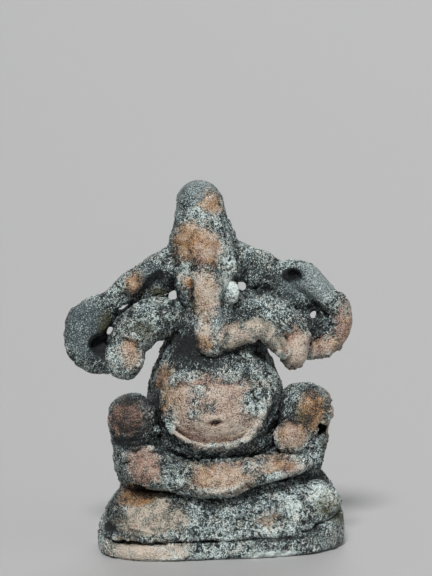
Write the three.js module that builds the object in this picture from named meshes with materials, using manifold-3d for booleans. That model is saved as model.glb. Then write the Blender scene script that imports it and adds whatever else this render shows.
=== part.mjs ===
// A small cast bronze statuette of a seated elephant-headed figure, made in one piece with its pedestal.
// Millimetres. X runs to the viewer's right, Y runs to the back, Z runs up.
// The origin is the middle of the flat underside, and the figure faces -Y.
import * as THREE from 'three';
import { mergeVertices } from 'three/addons/utils/BufferGeometryUtils.js';
import Module from 'manifold-3d';

const wasm = await Module();
wasm.setup();

// Pedestal: a rounded slab, a groove, and an upper tier that draws in to the waist
const PEDESTAL_HALF_WIDTH = 15.0;
const PEDESTAL_HALF_DEPTH = 8.2;
const PEDESTAL_CORNER = 6.0;
const PEDESTAL_SHIFT = 0.1;
const PEDESTAL_TOP = 8.2;
const FOOT_EASE = 0.35;
const ARRIS_EASE = 0.05;
const SLAB_TOP = 1.9;
const GROOVE_DEPTH = 0.6;
const GROOVE_HALF_HEIGHT = 0.3;
const TIER_BOTTOM = 2.5;
const TIER_EASE = 0.12;
const TIER_DRAW_IN = 2.6;
const TIER_CURVE = 1.25;
const TIER_STEPS = 6;
// The right end of the pedestal stands taller, and its front corner is worn back
const RISE_PER_MM = 0.0065;
const FRONT_WEAR = 0.015;
// The groove climbs to the right, by this times the distance squared
const GROOVE_CLIMB = 0.0095;

// Points closer than this are one point
const MERGE_DISTANCE = 1e-4;

// Coarseness of the round shapes
const BALL_SIDES = 12;
const BALL_RINGS = 8;
const LIMB_SIDES = 9;
const CAP_RINGS = 2;
const PEDESTAL_SIDES = 20;

const BACKWARDS = new THREE.Vector3(0, 1, 0);

// Middle of the torso, and the heights that the body is set out from
const TORSO_X = -0.8;
const SEAT_Z = 10.0;
const BELLY_Z = 18.4;
const CHEST_Z = 28.0;
const CROWN_Z = 42.4;
const SHOULDER_Z = 28.4;

// A round lump of bronze: its middle, its three half sizes, and its lean in degrees about Y
const BODY = [
  { name: 'seat', at: [-0.2, 0.8, SEAT_Z], half: [11.4, 5.8, 4.4] },
  { name: 'belly', at: [TORSO_X, -1.3, BELLY_Z], half: [7.85, 6.5, 7.0] },
  { name: 'lap', at: [TORSO_X + 0.1, -0.4, BELLY_Z - 3.8], half: [7.6, 5.9, 4.4] },
  { name: 'back', at: [TORSO_X, 0.9, BELLY_Z - 1.4], half: [8.2, 4.9, 11.0] },
  { name: 'left haunch', at: [-9.4, 1.2, 11.8], half: [3.5, 4.6, 5.2] },
  { name: 'right haunch', at: [8.5, 1.2, 12.1], half: [3.7, 4.6, 5.6] },
  { name: 'bud beside the right knee', at: [7.6, -5.6, 14.4], half: [2.0, 1.5, 1.75] },
  { name: 'mound at the right of the tier', at: [11.4, -3.4, 6.2], half: [2.4, 2.3, 2.2] },
];

const FACE = [
  { name: 'left cheek', at: [-4.6, -2.4, 33.1], half: [1.3, 1.4, 2.5] },
  { name: 'left eye', at: [-4.7, -3.8, 33.5], half: [0.85, 0.7, 0.8] },
  { name: 'left brow', at: [-4.6, -3.5, 35.1], half: [0.8, 0.6, 0.75] },
  { name: 'right tusk', at: [0.7, -3, 31.7], half: [0.7, 1.1, 1.35], lean: 12 },
  { name: 'right brow', at: [0.3, -2.9, 34.8], half: [0.95, 0.7, 1.2] },
  { name: 'bulge of the trunk', at: [-2.5, -4.6, 32.3], half: [1.75, 1.45, 3.1] },
  { name: 'foot of the trunk', at: [-1.8, -5.3, 26.2], half: [1.7, 1.5, 1.7] },
];

const EARS = [
  { name: 'left ear', at: [-6.7, -0.8, 34.4], half: [1.1, 1.0, 1.6], lean: 20 },
  { name: 'right ear root', at: [1.4, -0.6, 34.4], half: [1.3, 1.2, 1.7] },
  { name: 'right ear', at: [4.9, 0, 33.5], half: [2.1, 1.5, 2.2], lean: -15 },
  { name: 'right ear lobe', at: [6.9, 0.3, 32.2], half: [2.2, 1.2, 1.9], lean: 30 },
];

const HANDS = [
  { name: 'left upper bead', at: [-11.4, -0.5, 32.7], half: [1.5, 1.3, 1.35], lean: -35 },
  { name: 'left hand', at: [-12.2, -3.2, 24.4], half: [2.25, 2.0, 2.75], lean: 14 },
  { name: 'right hand', at: [8.4, -3.5, 24.6], half: [1.6, 1.8, 2.05] },
  { name: 'web in the left ring', at: [-13.4, 0.9, 27.2], half: [3.9, 0.6, 3.9] },
  { name: 'web in the right ring', at: [10.8, 0.9, 28.2], half: [3.6, 0.6, 4.6] },
];

// A limb: stations of x, y, z and radius along its middle; depth under 1 flattens it front to back
const LIMBS = [
  { name: 'chest', path: [[-1.2, 0, 22.5, 5.8], [-1.2, 0.1, 25, 5.3], [-1.3, 0.4, CHEST_Z, 4.5]] },
  {
    name: 'crossed shins',
    path: [[-11, -3.4, 11.4, 2], [-9.6, -5, 11, 2.4], [-7, -6, 10.3, 2], [-3.8, -6.5, 9.6, 1.9],
      [-1, -6.6, 9.4, 1.95], [1.8, -6.4, 10.1, 1.7], [5, -5.7, 10.7, 1.45], [8.7, -4.3, 11.3, 1.35],
      [10.7, -3, 11.3, 1.1]],
  },
  { name: 'left knee', path: [[-11.4, -3, 16.7, 2.75], [-11, -1.8, 13.1, 2.4], [-9.8, 0.5, 8.4, 2.2]] },
  { name: 'right knee', path: [[9.7, -2.6, 17, 3.35], [9.5, -1.6, 13.3, 2.95], [9.4, 0.4, 8.6, 2.3]] },
  { name: 'left anklet', path: [[-12.4, -5.3, 12.3, 0.5], [-10.9, -6.2, 13, 0.6], [-9.3, -6.5, 13.7, 0.5]] },
  {
    name: 'head and tall crown',
    path: [[-2.8, 0.2, CROWN_Z, 2.6], [-2.6, 0.1, 39.7, 3.1], [-2.3, 0, 36.7, 4], [-2, -0.1, 33.6, 3.75],
      [-1.7, 0, 30.6, 3.3]],
  },
  { name: 'forehead', path: [[-2.7, -1.7, 39.3, 1.8], [-2.5, -2.5, 37, 2.1]] },
  {
    name: 'hanging trunk',
    path: [[-2.4, -3, 36, 1.4], [-2.4, -3.8, 33, 1.6], [-2.2, -4.5, 30.2, 1.5], [-2, -5.1, 27.8, 1.6]],
  },
  {
    name: 'end of the trunk, curled up and over to the right hand',
    path: [[-0.9, -5.4, 26.5, 1.35], [1.6, -6, 27.2, 1.3], [2.9, -5.9, 27.6, 1.2], [4.4, -5.6, 27.4, 1.1],
      [5.8, -5.3, 26.1, 1], [7, -5, 24.9, 0.85]],
  },
  { name: 'left ear web', path: [[-5.3, 0.9, 34.8, 1.35], [-7.6, 0.9, 32.3, 1.65], [-9.9, 0.9, 31.8, 1.2]] },
  { name: 'left arm web', path: [[-8.8, 0.7, 31.1, 0.95], [-11.8, 0.9, 30, 0.75]] },
  {
    name: 'right ear web',
    path: [[1.4, 0.9, 35, 1.6], [4.2, 0.9, 32.8, 1.45], [7.9, 0.8, 31.3, 1.45], [10.4, 0.8, 30.2, 1]],
  },
  { name: 'right shoulder', path: [[0.4, 0.4, 30.5, 1.2], [4.8, -0.4, 30.6, 1.1], [7.7, -0.6, 29.7, 1]] },
  {
    name: 'left upper arm',
    path: [[-5.4, 0.3, 36.2, 1.2], [-7, 0.3, 35.2, 1.4], [-11.3, 0.1, 32.4, 1.4], [-13.2, 0, 30.9, 1.2]],
  },
  {
    name: 'left ring, broad and flat',
    depth: 0.72,
    steps: 2,
    path: [[-14.1, 0, 30.1, 1.45], [-16, 0, 28.6, 2.05], [-16.8, 0, 26.9, 2.35], [-16.7, 0, 25.2, 2.2],
      [-15.4, -0.4, 23.8, 1.7], [-14.1, -1.2, 23.4, 1.35]],
  },
  { name: 'right upper arm', path: [[0.4, 0.3, 37, 1.35], [2.2, 0.3, 36.3, 1.15], [6.4, 0, 34.3, 1.1]] },
  {
    name: 'right ring, smooth part',
    depth: 0.85,
    path: [[7.6, 0, 34, 1.2], [9.1, 0, 33.5, 1.6], [10.8, 0, 32.7, 1.6], [12.5, 0, 31, 1.4],
      [13.5, 0, 30, 1.3]],
  },
  {
    name: 'right ring, lower part',
    depth: 0.9,
    path: [[14.2, 0, 29.9, 1.15], [14.7, 0, 28.2, 1.35], [14.3, 0, 26.2, 1.35], [12.8, -0.3, 24.6, 1.15],
      [10.7, -1, 24.4, 0.95]],
  },
  {
    name: 'left lower arm',
    path: [[-3.9, 0.2, SHOULDER_Z, 2.2], [-7.1, -0.5, SHOULDER_Z, 2.35], [-9.5, -1.6, SHOULDER_Z, 2.4],
      [-11.1, -2.6, 26.7, 2.3]],
  },
  {
    name: 'right lower arm',
    path: [[0.4, 0.2, SHOULDER_Z, 2.3], [2.8, -0.5, SHOULDER_Z, 2.4], [5.1, -1.4, SHOULDER_Z, 2.4],
      [7.3, -2.2, 27.2, 2.3], [8.7, -2.6, 25.5, 1.8]],
  },
];

// Grooves and hollows sunk into the surface, given as limbs and lumps of empty space
const GROOVES = [
  {
    name: 'belt under the belly',
    path: [[-8.6, -4.6, 18.4, 0.5], [-8, -5, 15.8, 0.65], [-6.4, -6, 13.7, 0.9], [-4.1, -6.9, 12.9, 1.05],
      [-1.7, -7.3, 12.7, 1.1], [1.1, -7.2, 13, 1.05], [3, -6.6, 13.7, 0.85], [4.6, -6.1, 15.2, 0.65],
      [5.3, -5.6, 18, 0.5]],
  },
  {
    name: 'undercut below the shins',
    path: [[-12.4, -5.6, 8.4, 0.7], [-8.7, -7.6, 7.9, 0.8], [-4, -8.6, 6.9, 0.8], [0.8, -8.6, 7.1, 0.8],
      [5.8, -7.6, 8.2, 0.9], [10.1, -5.6, 9.2, 0.9]],
  },
  {
    name: 'gap beside the right knee',
    path: [[5.4, -5.8, 18.6, 0.4], [5.6, -5, 15.8, 0.5], [5.2, -5, 13.6, 0.5]],
  },
  { name: 'groove under the left upper arm', path: [[-10.1, -1.4, 31.9, 0.5], [-7.9, -1.4, 34, 0.6]] },
  {
    name: 'channel between the right arm and its ring',
    path: [[6.2, -1.5, 33.3, 0.3], [9, -1.4, 30.5, 0.55], [10.5, -2.6, 26.6, 0.5], [10.6, -3, 25.2, 0.4]],
  },
];

const HOLLOWS = [
  { name: 'hollow in the left ring', at: [-15.2, -1.7, 25.4], half: [1.3, 1.7, 1.1], lean: -25 },
  { name: 'dimple in the right ring', at: [8.7, -1.7, 33.6], half: [1.15, 1.6, 0.8], lean: 30 },
  { name: 'navel', at: [-1.9, -7.9, 16.6], half: [1.05, 1, 0.5], lean: -12 },
  { name: 'pit in the right knee', at: [11.5, -4.4, 15.1], half: [0.75, 1.9, 1] },
];

// Small gaps that go right through, front to back
const GAP_HALF_DEPTH = 6;
const GAPS = [
  { name: 'slit in the left arm', at: [-12, 0, 29.9], half: [0.4, GAP_HALF_DEPTH, 1.1], lean: 58 },
  { name: 'gap in the left ring', at: [-13.6, 0, 27], half: [0.6, GAP_HALF_DEPTH, 0.75], lean: 30 },
  { name: 'gap left of the head', at: [-6, 0, 31.2], half: [0.75, GAP_HALF_DEPTH, 1], lean: 20 },
  { name: 'gap right of the head', at: [2.5, 0, 32.2], half: [0.9, GAP_HALF_DEPTH, 0.85] },
  { name: 'gap in the right ring', at: [11.4, 0, 28.4], half: [0.6, GAP_HALF_DEPTH, 0.65] },
];

function solidFrom(geometry) {
  const bare = new THREE.BufferGeometry();
  bare.setAttribute('position', geometry.getAttribute('position'));
  bare.setIndex(geometry.getIndex());
  const merged = mergeVertices(bare, MERGE_DISTANCE);
  const vertProperties = new Float32Array(merged.getAttribute('position').array);
  const triVerts = new Uint32Array(merged.getIndex().array);
  return new wasm.Manifold(new wasm.Mesh({ numProp: 3, vertProperties, triVerts }));
}

function geometryFrom(solid) {
  const mesh = solid.getMesh();
  const geometry = new THREE.BufferGeometry();
  geometry.setAttribute('position', new THREE.BufferAttribute(new Float32Array(mesh.vertProperties), 3));
  geometry.setIndex(new THREE.BufferAttribute(new Uint32Array(mesh.triVerts), 1));
  geometry.computeVertexNormals();
  return geometry;
}

function lump({ at, half, lean = 0 }) {
  const ball = new THREE.SphereGeometry(1, BALL_SIDES, BALL_RINGS);
  ball.rotateX(Math.PI / 2);
  ball.scale(...half);
  ball.rotateY(THREE.MathUtils.degToRad(lean));
  ball.translate(...at);
  return solidFrom(ball);
}

// Stations along a smooth curve through the given ones, the radius changing evenly between them
function stationsAlong(path, steps) {
  if (steps < 2) {
    return path;
  }
  const middles = path.map(([x, y, z]) => new THREE.Vector3(x, y, z));
  const curve = new THREE.CatmullRomCurve3(middles, false, 'centripetal');
  const spans = path.length - 1;
  const stations = [];
  for (let i = 0; i <= spans * steps; i += 1) {
    const span = Math.min(Math.floor(i / steps), spans - 1);
    const share = i / steps - span;
    const point = curve.getPoint(i / (spans * steps));
    stations.push([point.x, point.y, point.z, THREE.MathUtils.lerp(path[span][3], path[span + 1][3], share)]);
  }
  return stations;
}

// The rings of a rod's skin: a rounded start, one ring at each station, and a rounded end
function ringsAlong(stations) {
  const centres = stations.map(([x, y, z]) => new THREE.Vector3(x, y, z));
  const rings = stations.map(([, , , radius], i) => {
    const before = centres[Math.max(i - 1, 0)];
    const after = centres[Math.min(i + 1, centres.length - 1)];
    return { centre: centres[i], tangent: after.clone().sub(before).normalize(), radius };
  });
  const cap = (ring, side) => Array.from({ length: CAP_RINGS }, (_, k) => {
    const angle = (k / CAP_RINGS) * Math.PI / 2;
    const centre = ring.centre.clone().addScaledVector(ring.tangent, side * ring.radius * Math.cos(angle));
    return { centre, tangent: ring.tangent, radius: ring.radius * Math.sin(angle) };
  });
  return [...cap(rings[0], -1), ...rings, ...cap(rings[rings.length - 1], 1).reverse()];
}

// A limb is a turned rod with round ends, bent along its route and flattened front to back
function limb({ path, depth = 1, steps = 1 }) {
  const rings = ringsAlong(stationsAlong(path, steps));
  const rod = new THREE.LatheGeometry(rings.map(({ radius }, i) => new THREE.Vector2(radius, i)), LIMB_SIDES);
  const position = rod.getAttribute('position');
  for (let i = 0; i < position.count; i += 1) {
    const { centre, tangent } = rings[i % rings.length];
    const across = BACKWARDS.clone().addScaledVector(tangent, -BACKWARDS.dot(tangent)).normalize();
    const side = tangent.clone().cross(across);
    const offset = side.multiplyScalar(position.getX(i)).addScaledVector(across, position.getZ(i));
    position.setXYZ(i, centre.x + offset.x, centre.y + offset.y * depth, centre.z + offset.z);
  }
  return solidFrom(rod);
}

// The profile of the pedestal as inset from its widest outline against height
function pedestalProfile() {
  const profile = [[FOOT_EASE, 0], [ARRIS_EASE, FOOT_EASE], [0, SLAB_TOP / 2], [ARRIS_EASE, SLAB_TOP]];
  profile.push([GROOVE_DEPTH, SLAB_TOP + GROOVE_HALF_HEIGHT], [TIER_EASE, TIER_BOTTOM]);
  for (let i = 1; i <= TIER_STEPS; i += 1) {
    const share = i / TIER_STEPS;
    const inset = TIER_EASE + TIER_DRAW_IN * share ** TIER_CURVE;
    profile.push([inset, TIER_BOTTOM + (PEDESTAL_TOP - TIER_BOTTOM) * share]);
  }
  return profile;
}

// Height after the groove's climb, which fades out to the underside and to the top
function climbed(x, z) {
  const groove = SLAB_TOP + GROOVE_HALF_HEIGHT;
  const climb = GROOVE_CLIMB * Math.max(x, 0) ** 2;
  const share = z < groove ? z / groove : (PEDESTAL_TOP - z) / (PEDESTAL_TOP - groove);
  return z + climb * share;
}

function pedestal() {
  const rim = pedestalProfile().map(([inset, z]) => new THREE.Vector2(PEDESTAL_CORNER - inset, z));
  const points = [new THREE.Vector2(0, 0), ...rim, new THREE.Vector2(0, PEDESTAL_TOP)];
  const halfStep = Math.PI / PEDESTAL_SIDES;
  const turned = new THREE.LatheGeometry(points, PEDESTAL_SIDES, halfStep);
  turned.rotateX(Math.PI / 2);
  const position = turned.getAttribute('position');
  for (let i = 0; i < position.count; i += 1) {
    let x = position.getX(i);
    let y = position.getY(i);
    const z = position.getZ(i);
    // the round turning is pulled apart into a rounded rectangle, all but its two middle points
    if (Math.hypot(x, y) > MERGE_DISTANCE) {
      x += Math.sign(x) * (PEDESTAL_HALF_WIDTH - PEDESTAL_CORNER);
      y += Math.sign(y) * (PEDESTAL_HALF_DEPTH - PEDESTAL_CORNER);
    }
    if (y < 0) {
      y += FRONT_WEAR * Math.max(x, 0) ** 2;
    }
    position.setXYZ(i, x + PEDESTAL_SHIFT, y, climbed(x, z) * (1 + RISE_PER_MM * x));
  }
  return solidFrom(turned);
}

function statuette() {
  let figure = pedestal();
  for (const part of [...BODY, ...FACE, ...EARS, ...HANDS]) {
    figure = figure.add(lump(part));
  }
  for (const part of LIMBS) {
    figure = figure.add(limb(part));
  }
  for (const part of GROOVES) {
    figure = figure.subtract(limb(part));
  }
  for (const part of [...HOLLOWS, ...GAPS]) {
    figure = figure.subtract(lump(part));
  }
  return figure;
}

const patinatedBronze = new THREE.MeshStandardMaterial({ color: 0x4b5656, roughness: 0.62, metalness: 0.45 });
patinatedBronze.name = 'patinated bronze';

const figure = new THREE.Mesh(geometryFrom(statuette()), patinatedBronze);
figure.name = 'ganesha_statuette';

const object = new THREE.Group();
object.add(figure);

export default object;
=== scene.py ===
"""Looks of a small corroded bronze statuette of a seated, elephant-headed figure on its pedestal.

The figure is modelled as a volume of clay in millimetres, skinned, then given its crust of corrosion
by Geometry Nodes and its colours by a procedural material. It stands on a pale studio floor.
"""
from collections import namedtuple

import bpy
import numpy as np
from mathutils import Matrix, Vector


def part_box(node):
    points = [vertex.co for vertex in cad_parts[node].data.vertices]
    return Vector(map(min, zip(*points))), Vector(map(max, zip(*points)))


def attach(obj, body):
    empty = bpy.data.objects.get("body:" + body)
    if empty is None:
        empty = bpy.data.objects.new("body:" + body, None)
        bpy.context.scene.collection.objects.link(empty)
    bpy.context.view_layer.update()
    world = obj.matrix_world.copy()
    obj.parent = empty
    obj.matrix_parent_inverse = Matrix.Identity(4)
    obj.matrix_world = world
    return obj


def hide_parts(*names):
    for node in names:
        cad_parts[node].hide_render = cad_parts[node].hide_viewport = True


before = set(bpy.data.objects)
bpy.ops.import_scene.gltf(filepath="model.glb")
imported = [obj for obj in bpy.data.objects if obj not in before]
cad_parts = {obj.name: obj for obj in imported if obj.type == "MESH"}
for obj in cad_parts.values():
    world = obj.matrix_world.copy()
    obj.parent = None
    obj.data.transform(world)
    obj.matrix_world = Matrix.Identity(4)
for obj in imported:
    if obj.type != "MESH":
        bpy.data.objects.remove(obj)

import openvdb
from bpy.props import FloatProperty, FloatVectorProperty, IntProperty, PointerProperty
from mathutils import Vector

bl_info = {
    "name": "Corroded Bronze Statuette",
    "version": (1, 0, 0),
    "blender": (4, 5, 0),
    "location": "View3D > Sidebar > Statuette",
    "description": "Builds a small seated bronze figure with its patina, and a plain studio stage",
    "category": "Object",
}

# The solid that the modelled figure stands for, and its box in metres
NODE = "ganesha_statuette"
LOWEST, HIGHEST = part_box(NODE)
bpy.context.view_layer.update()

# The form is set out on a figure 45 mm tall; one of those millimetres is this many metres
FIGURE_HEIGHT = 45.0
MM = (HIGHEST.z - LOWEST.z) / FIGURE_HEIGHT

# Form, in millimetres: X to the viewer's right, Y to the back, Z up from the underside

# Pedestal outline, and its inset from the widest outline against height
PEDESTAL_HALF_WIDTH = 15.0
PEDESTAL_HALF_DEPTH = 8.2
PEDESTAL_CORNER = 6.0
PEDESTAL_SHIFT = 0.1
PEDESTAL_TOP = 8.2
PEDESTAL_HEIGHTS = (0.0, 0.35, 1.0, 1.9, 2.25, 2.7, 3.2, 4.2, 5.4, 6.4, 7.4, 8.2)
PEDESTAL_INSETS = (0.35, 0.05, 0.0, 0.1, 1.1, 0.15, 0.3, 0.65, 1.15, 1.6, 2.2, 2.7)
# The right end stands taller by this share of the height for each millimetre along
RISE_PER_MM = 0.0065
# The groove between slab and tier climbs to the right, by this times the distance squared
GROOVE_Z = 2.25
GROOVE_CLIMB = 0.0095
# The front right corner is worn back, by this times the distance squared
FRONT_WEAR = 0.015

TORSO_X = -0.8
BELLY_Z = 18.4

# A lump is a ball with three half sizes, leaning by degrees about Y; blend softens where it joins the rest
Lump = namedtuple("Lump", "name at half blend lean", defaults=(0.3, 0.0))
# A limb is a round rod through stations of x, y, z and radius; depth under 1 flattens it front to back
Limb = namedtuple("Limb", "name path blend depth")


def limb(name, *path, blend=0.4, depth=1.0):
    """A limb from its stations."""
    return Limb(name, path, blend, depth)


BODY = (
    Lump("seat", (-0.2, 0.8, 10.0), (11.4, 5.8, 4.4), 0.8),
    Lump("belly", (TORSO_X, -1.3, BELLY_Z), (7.85, 6.5, 7.0), 0.8),
    Lump("lap", (TORSO_X + 0.1, -0.4, BELLY_Z - 3.8), (7.6, 5.9, 4.4), 0.5),
    Lump("back", (TORSO_X, 0.9, BELLY_Z - 1.4), (8.2, 4.9, 11.0), 0.8),
    limb("chest", (-1.2, 0, 22.5, 5.8), (-1.2, 0.1, 25, 5.3), (-1.3, 0.4, 28, 4.5), blend=1.6),
    limb("crossed shins", (-11, -3.4, 11.4, 2), (-9.6, -5, 11, 2.4), (-7, -6, 10.3, 2),
         (-3.8, -6.5, 9.6, 1.9), (-1, -6.6, 9.4, 1.95), (1.8, -6.4, 10.1, 1.7), (5, -5.7, 10.7, 1.45),
         (8.7, -4.3, 11.3, 1.35), (10.7, -3, 11.3, 1.1), blend=0.35),
    limb("left knee", (-11.4, -3, 16.7, 2.75), (-11, -1.8, 13.1, 2.4), (-9.8, 0.5, 8.4, 2.2), blend=0.5),
    limb("right knee", (9.7, -2.6, 17, 3.35), (9.5, -1.6, 13.3, 2.95), (9.4, 0.4, 8.6, 2.3), blend=0.5),
    Lump("left haunch", (-9.4, 1.2, 11.8), (3.5, 4.6, 5.2), 1.2),
    Lump("right haunch", (8.5, 1.2, 12.1), (3.7, 4.6, 5.6), 1.2),
    Lump("bud beside the right knee", (7.6, -5.6, 14.4), (2.0, 1.5, 1.75)),
    limb("left anklet", (-12.4, -5.3, 12.3, 0.4), (-10.9, -6.2, 13, 0.5), (-9.3, -6.3, 13.6, 0.15),
         blend=0.2),
    Lump("mound at the right of the tier", (11.4, -3.4, 6.2), (2.4, 2.3, 2.2), 0.5),
    Lump("swelling of the tier", (3.8, -6.0, 5.2), (3.4, 1.7, 1.3), 0.5, 10),
    Lump("right palm", (8.7, -3.4, 25.9), (1.5, 1.6, 1.1), 0.5, -20),
)

HEAD = (
    limb("head and tall crown", (-2.8, 0.2, 42.4, 2.6), (-2.6, 0.1, 39.7, 3.1), (-2.3, 0, 36.7, 4),
         (-2, -0.1, 33.6, 3.75), (-1.7, 0, 30.6, 3.3), blend=0.5),
    limb("forehead", (-2.7, -1.7, 39.3, 1.8), (-2.5, -2.5, 37, 2.1), blend=1.0),
    limb("trunk, which hangs", (-2.4, -3, 36, 1.4), (-2.4, -3.8, 33, 1.6), (-2.2, -4.5, 30.2, 1.5),
         (-2, -5.1, 27.8, 1.6), blend=0.4),
    Lump("bulge of the trunk", (-2.5, -4.6, 32.3), (1.75, 1.45, 3.1), 0.3),
    Lump("lower bulge of the trunk", (-2.9, -5.7, 27.1), (1.0, 1.2, 1.7), 0.2),
    Lump("foot of the trunk", (-1.8, -5.3, 26.2), (1.7, 1.5, 1.7), 0.4),
    limb("curl of the trunk to the right hand", (-0.9, -5.4, 26.5, 1.35), (0.3, -5.8, 26.8, 1.4),
         (1.6, -6, 27.2, 1.3), (2.9, -5.9, 27.6, 1.2), (4.4, -5.6, 27.4, 1.1), (5.8, -5.3, 26.1, 1),
         (7, -5, 24.9, 0.85), blend=0.2),
    Lump("left cheek", (-4.4, -2.4, 33.1), (1.3, 1.4, 2.5), 1.0),
    Lump("left eye", (-4.7, -3.8, 33.4), (0.8, 0.5, 0.85), 0.2),
    Lump("left brow", (-4.6, -3.5, 35.1), (0.8, 0.6, 0.75), 0.1),
    Lump("left temple", (-6.1, -1.9, 34.7), (0.6, 0.7, 0.8), 0.1),
    Lump("right tusk", (0.7, -3.0, 31.7), (0.7, 1.1, 1.35), 0.1, 12),
    Lump("right brow", (0.3, -2.9, 34.8), (0.95, 0.7, 1.2), 0.4),
    Lump("left ear", (-6.7, -0.8, 34.4), (1.1, 1.0, 1.6), 0.5, 20),
    Lump("right ear root", (1.4, -0.6, 34.4), (1.3, 1.2, 1.7), 0.3),
    Lump("right ear", (4.9, 0.0, 33.5), (2.1, 1.5, 2.2), 0.3, -15),
    Lump("right ear lobe", (6.9, 0.3, 32.2), (2.2, 1.2, 1.9), 0.5, 30),
    limb("rim of the crown", (-5.4, -0.9, 40.9, 0.45), (-4.5, -2, 41.1, 0.5), (-3.3, -2.5, 41.5, 0.5),
         (-1.9, -2.8, 40.7, 0.5), (-0.8, -2.6, 39.6, 0.45), (0.1, -2.4, 38.2, 0.4), blend=0.5),
)

WEBS = (
    limb("left ear web", (-5.3, 0.9, 34.8, 1.35), (-7.6, 0.9, 32.3, 1.65), (-9.9, 0.9, 31.8, 1.2)),
    limb("left arm web", (-8.8, 0.7, 31.1, 0.95), (-11.8, 0.9, 30, 0.75)),
    limb("right ear web", (1.4, 0.9, 35, 1.6), (4.2, 0.9, 32.8, 1.45), (7.9, 0.8, 31.3, 1.45),
         (10.4, 0.8, 30.2, 1)),
    limb("right shoulder", (0.4, 0.4, 30.5, 1.2), (4.8, -0.4, 30.6, 1.1), (7.7, -0.6, 29.7, 1)),
    Lump("web in the left ring", (-13.4, 0.9, 27.2), (3.9, 0.6, 3.9)),
    Lump("web in the right ring", (10.8, 0.9, 28.2), (3.6, 0.6, 4.6)),
)

ARMS = (
    limb("left upper arm", (-5.4, 0.3, 36.2, 1.2), (-7, 0.3, 35.2, 1.4), (-9, 0.3, 33.9, 1.35),
         (-11.3, 0.1, 32.4, 1.4), (-13.2, 0, 30.9, 1.2)),
    Lump("left upper bead", (-11.4, -0.5, 32.7), (1.5, 1.3, 1.35), 0.12, -35),
    limb("left ring, broad and flat", (-14.1, 0, 30.1, 1.45), (-16, 0, 28.6, 2.05), (-16.8, 0, 26.9, 2.35),
         (-16.7, 0, 25.2, 2.2), (-15.4, -0.4, 23.8, 1.7), (-14.1, -1.2, 23.4, 1.35), blend=0.25,
         depth=0.72),
    Lump("corner of the left ring", (-17.4, 0, 28.8), (1.2, 1.2, 1.1), 0.4, -45),
    limb("right upper arm", (0.4, 0.3, 37, 1.35), (2.2, 0.3, 36.3, 1.15), (4.4, 0.1, 35.3, 1.15),
         (6.4, 0, 34.3, 1.1)),
    limb("right ring, smooth part", (7.6, 0, 34, 1.2), (9.1, 0, 33.5, 1.6), (10.8, 0, 32.7, 1.6),
         (12.5, 0, 31, 1.4), (13.5, 0, 30, 1.3), blend=0.15, depth=0.85),
    limb("right ring, lower part", (14.2, 0, 29.9, 1.15), (14.7, 0, 28.2, 1.35), (14.3, 0, 26.2, 1.35),
         (12.8, -0.3, 24.6, 1.15), (10.7, -1, 24.4, 0.95), blend=0.15, depth=0.9),
    limb("left lower arm", (-3.9, 0.2, 28.4, 2.2), (-7.1, -0.5, 28.4, 2.35), (-9.5, -1.6, 28.2, 2.4),
         (-11.1, -2.6, 26.7, 2.3)),
    limb("rim of the left lower arm", (-13, -1.6, 27.9, 0.3), (-11.6, -2.6, 29.5, 0.4),
         (-9.9, -1.9, 30.4, 0.4), (-7.8, -1.4, 30.5, 0.4), (-5, -1.7, 29.8, 0.3)),
    Lump("left hand", (-12.2, -3.2, 24.4), (2.25, 2.0, 2.75), 0.2, 14),
    limb("rim of the left hand", (-13.8, -3.5, 26.2, 0.3), (-12.7, -4.2, 27.1, 0.35),
         (-11.4, -4.8, 26.9, 0.35), (-10.3, -4.6, 25.8, 0.3), blend=0.25),
    limb("right lower arm", (0.4, 0.2, 28.8, 2.3), (2.8, -0.5, 28.8, 2.4), (5.1, -1.4, 28.6, 2.4),
         (7.3, -2.2, 27.2, 2.3), (8.7, -2.6, 25.5, 1.8)),
    Lump("right hand", (8.4, -3.5, 24.6), (1.6, 1.8, 2.05), 0.2),
)

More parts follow.
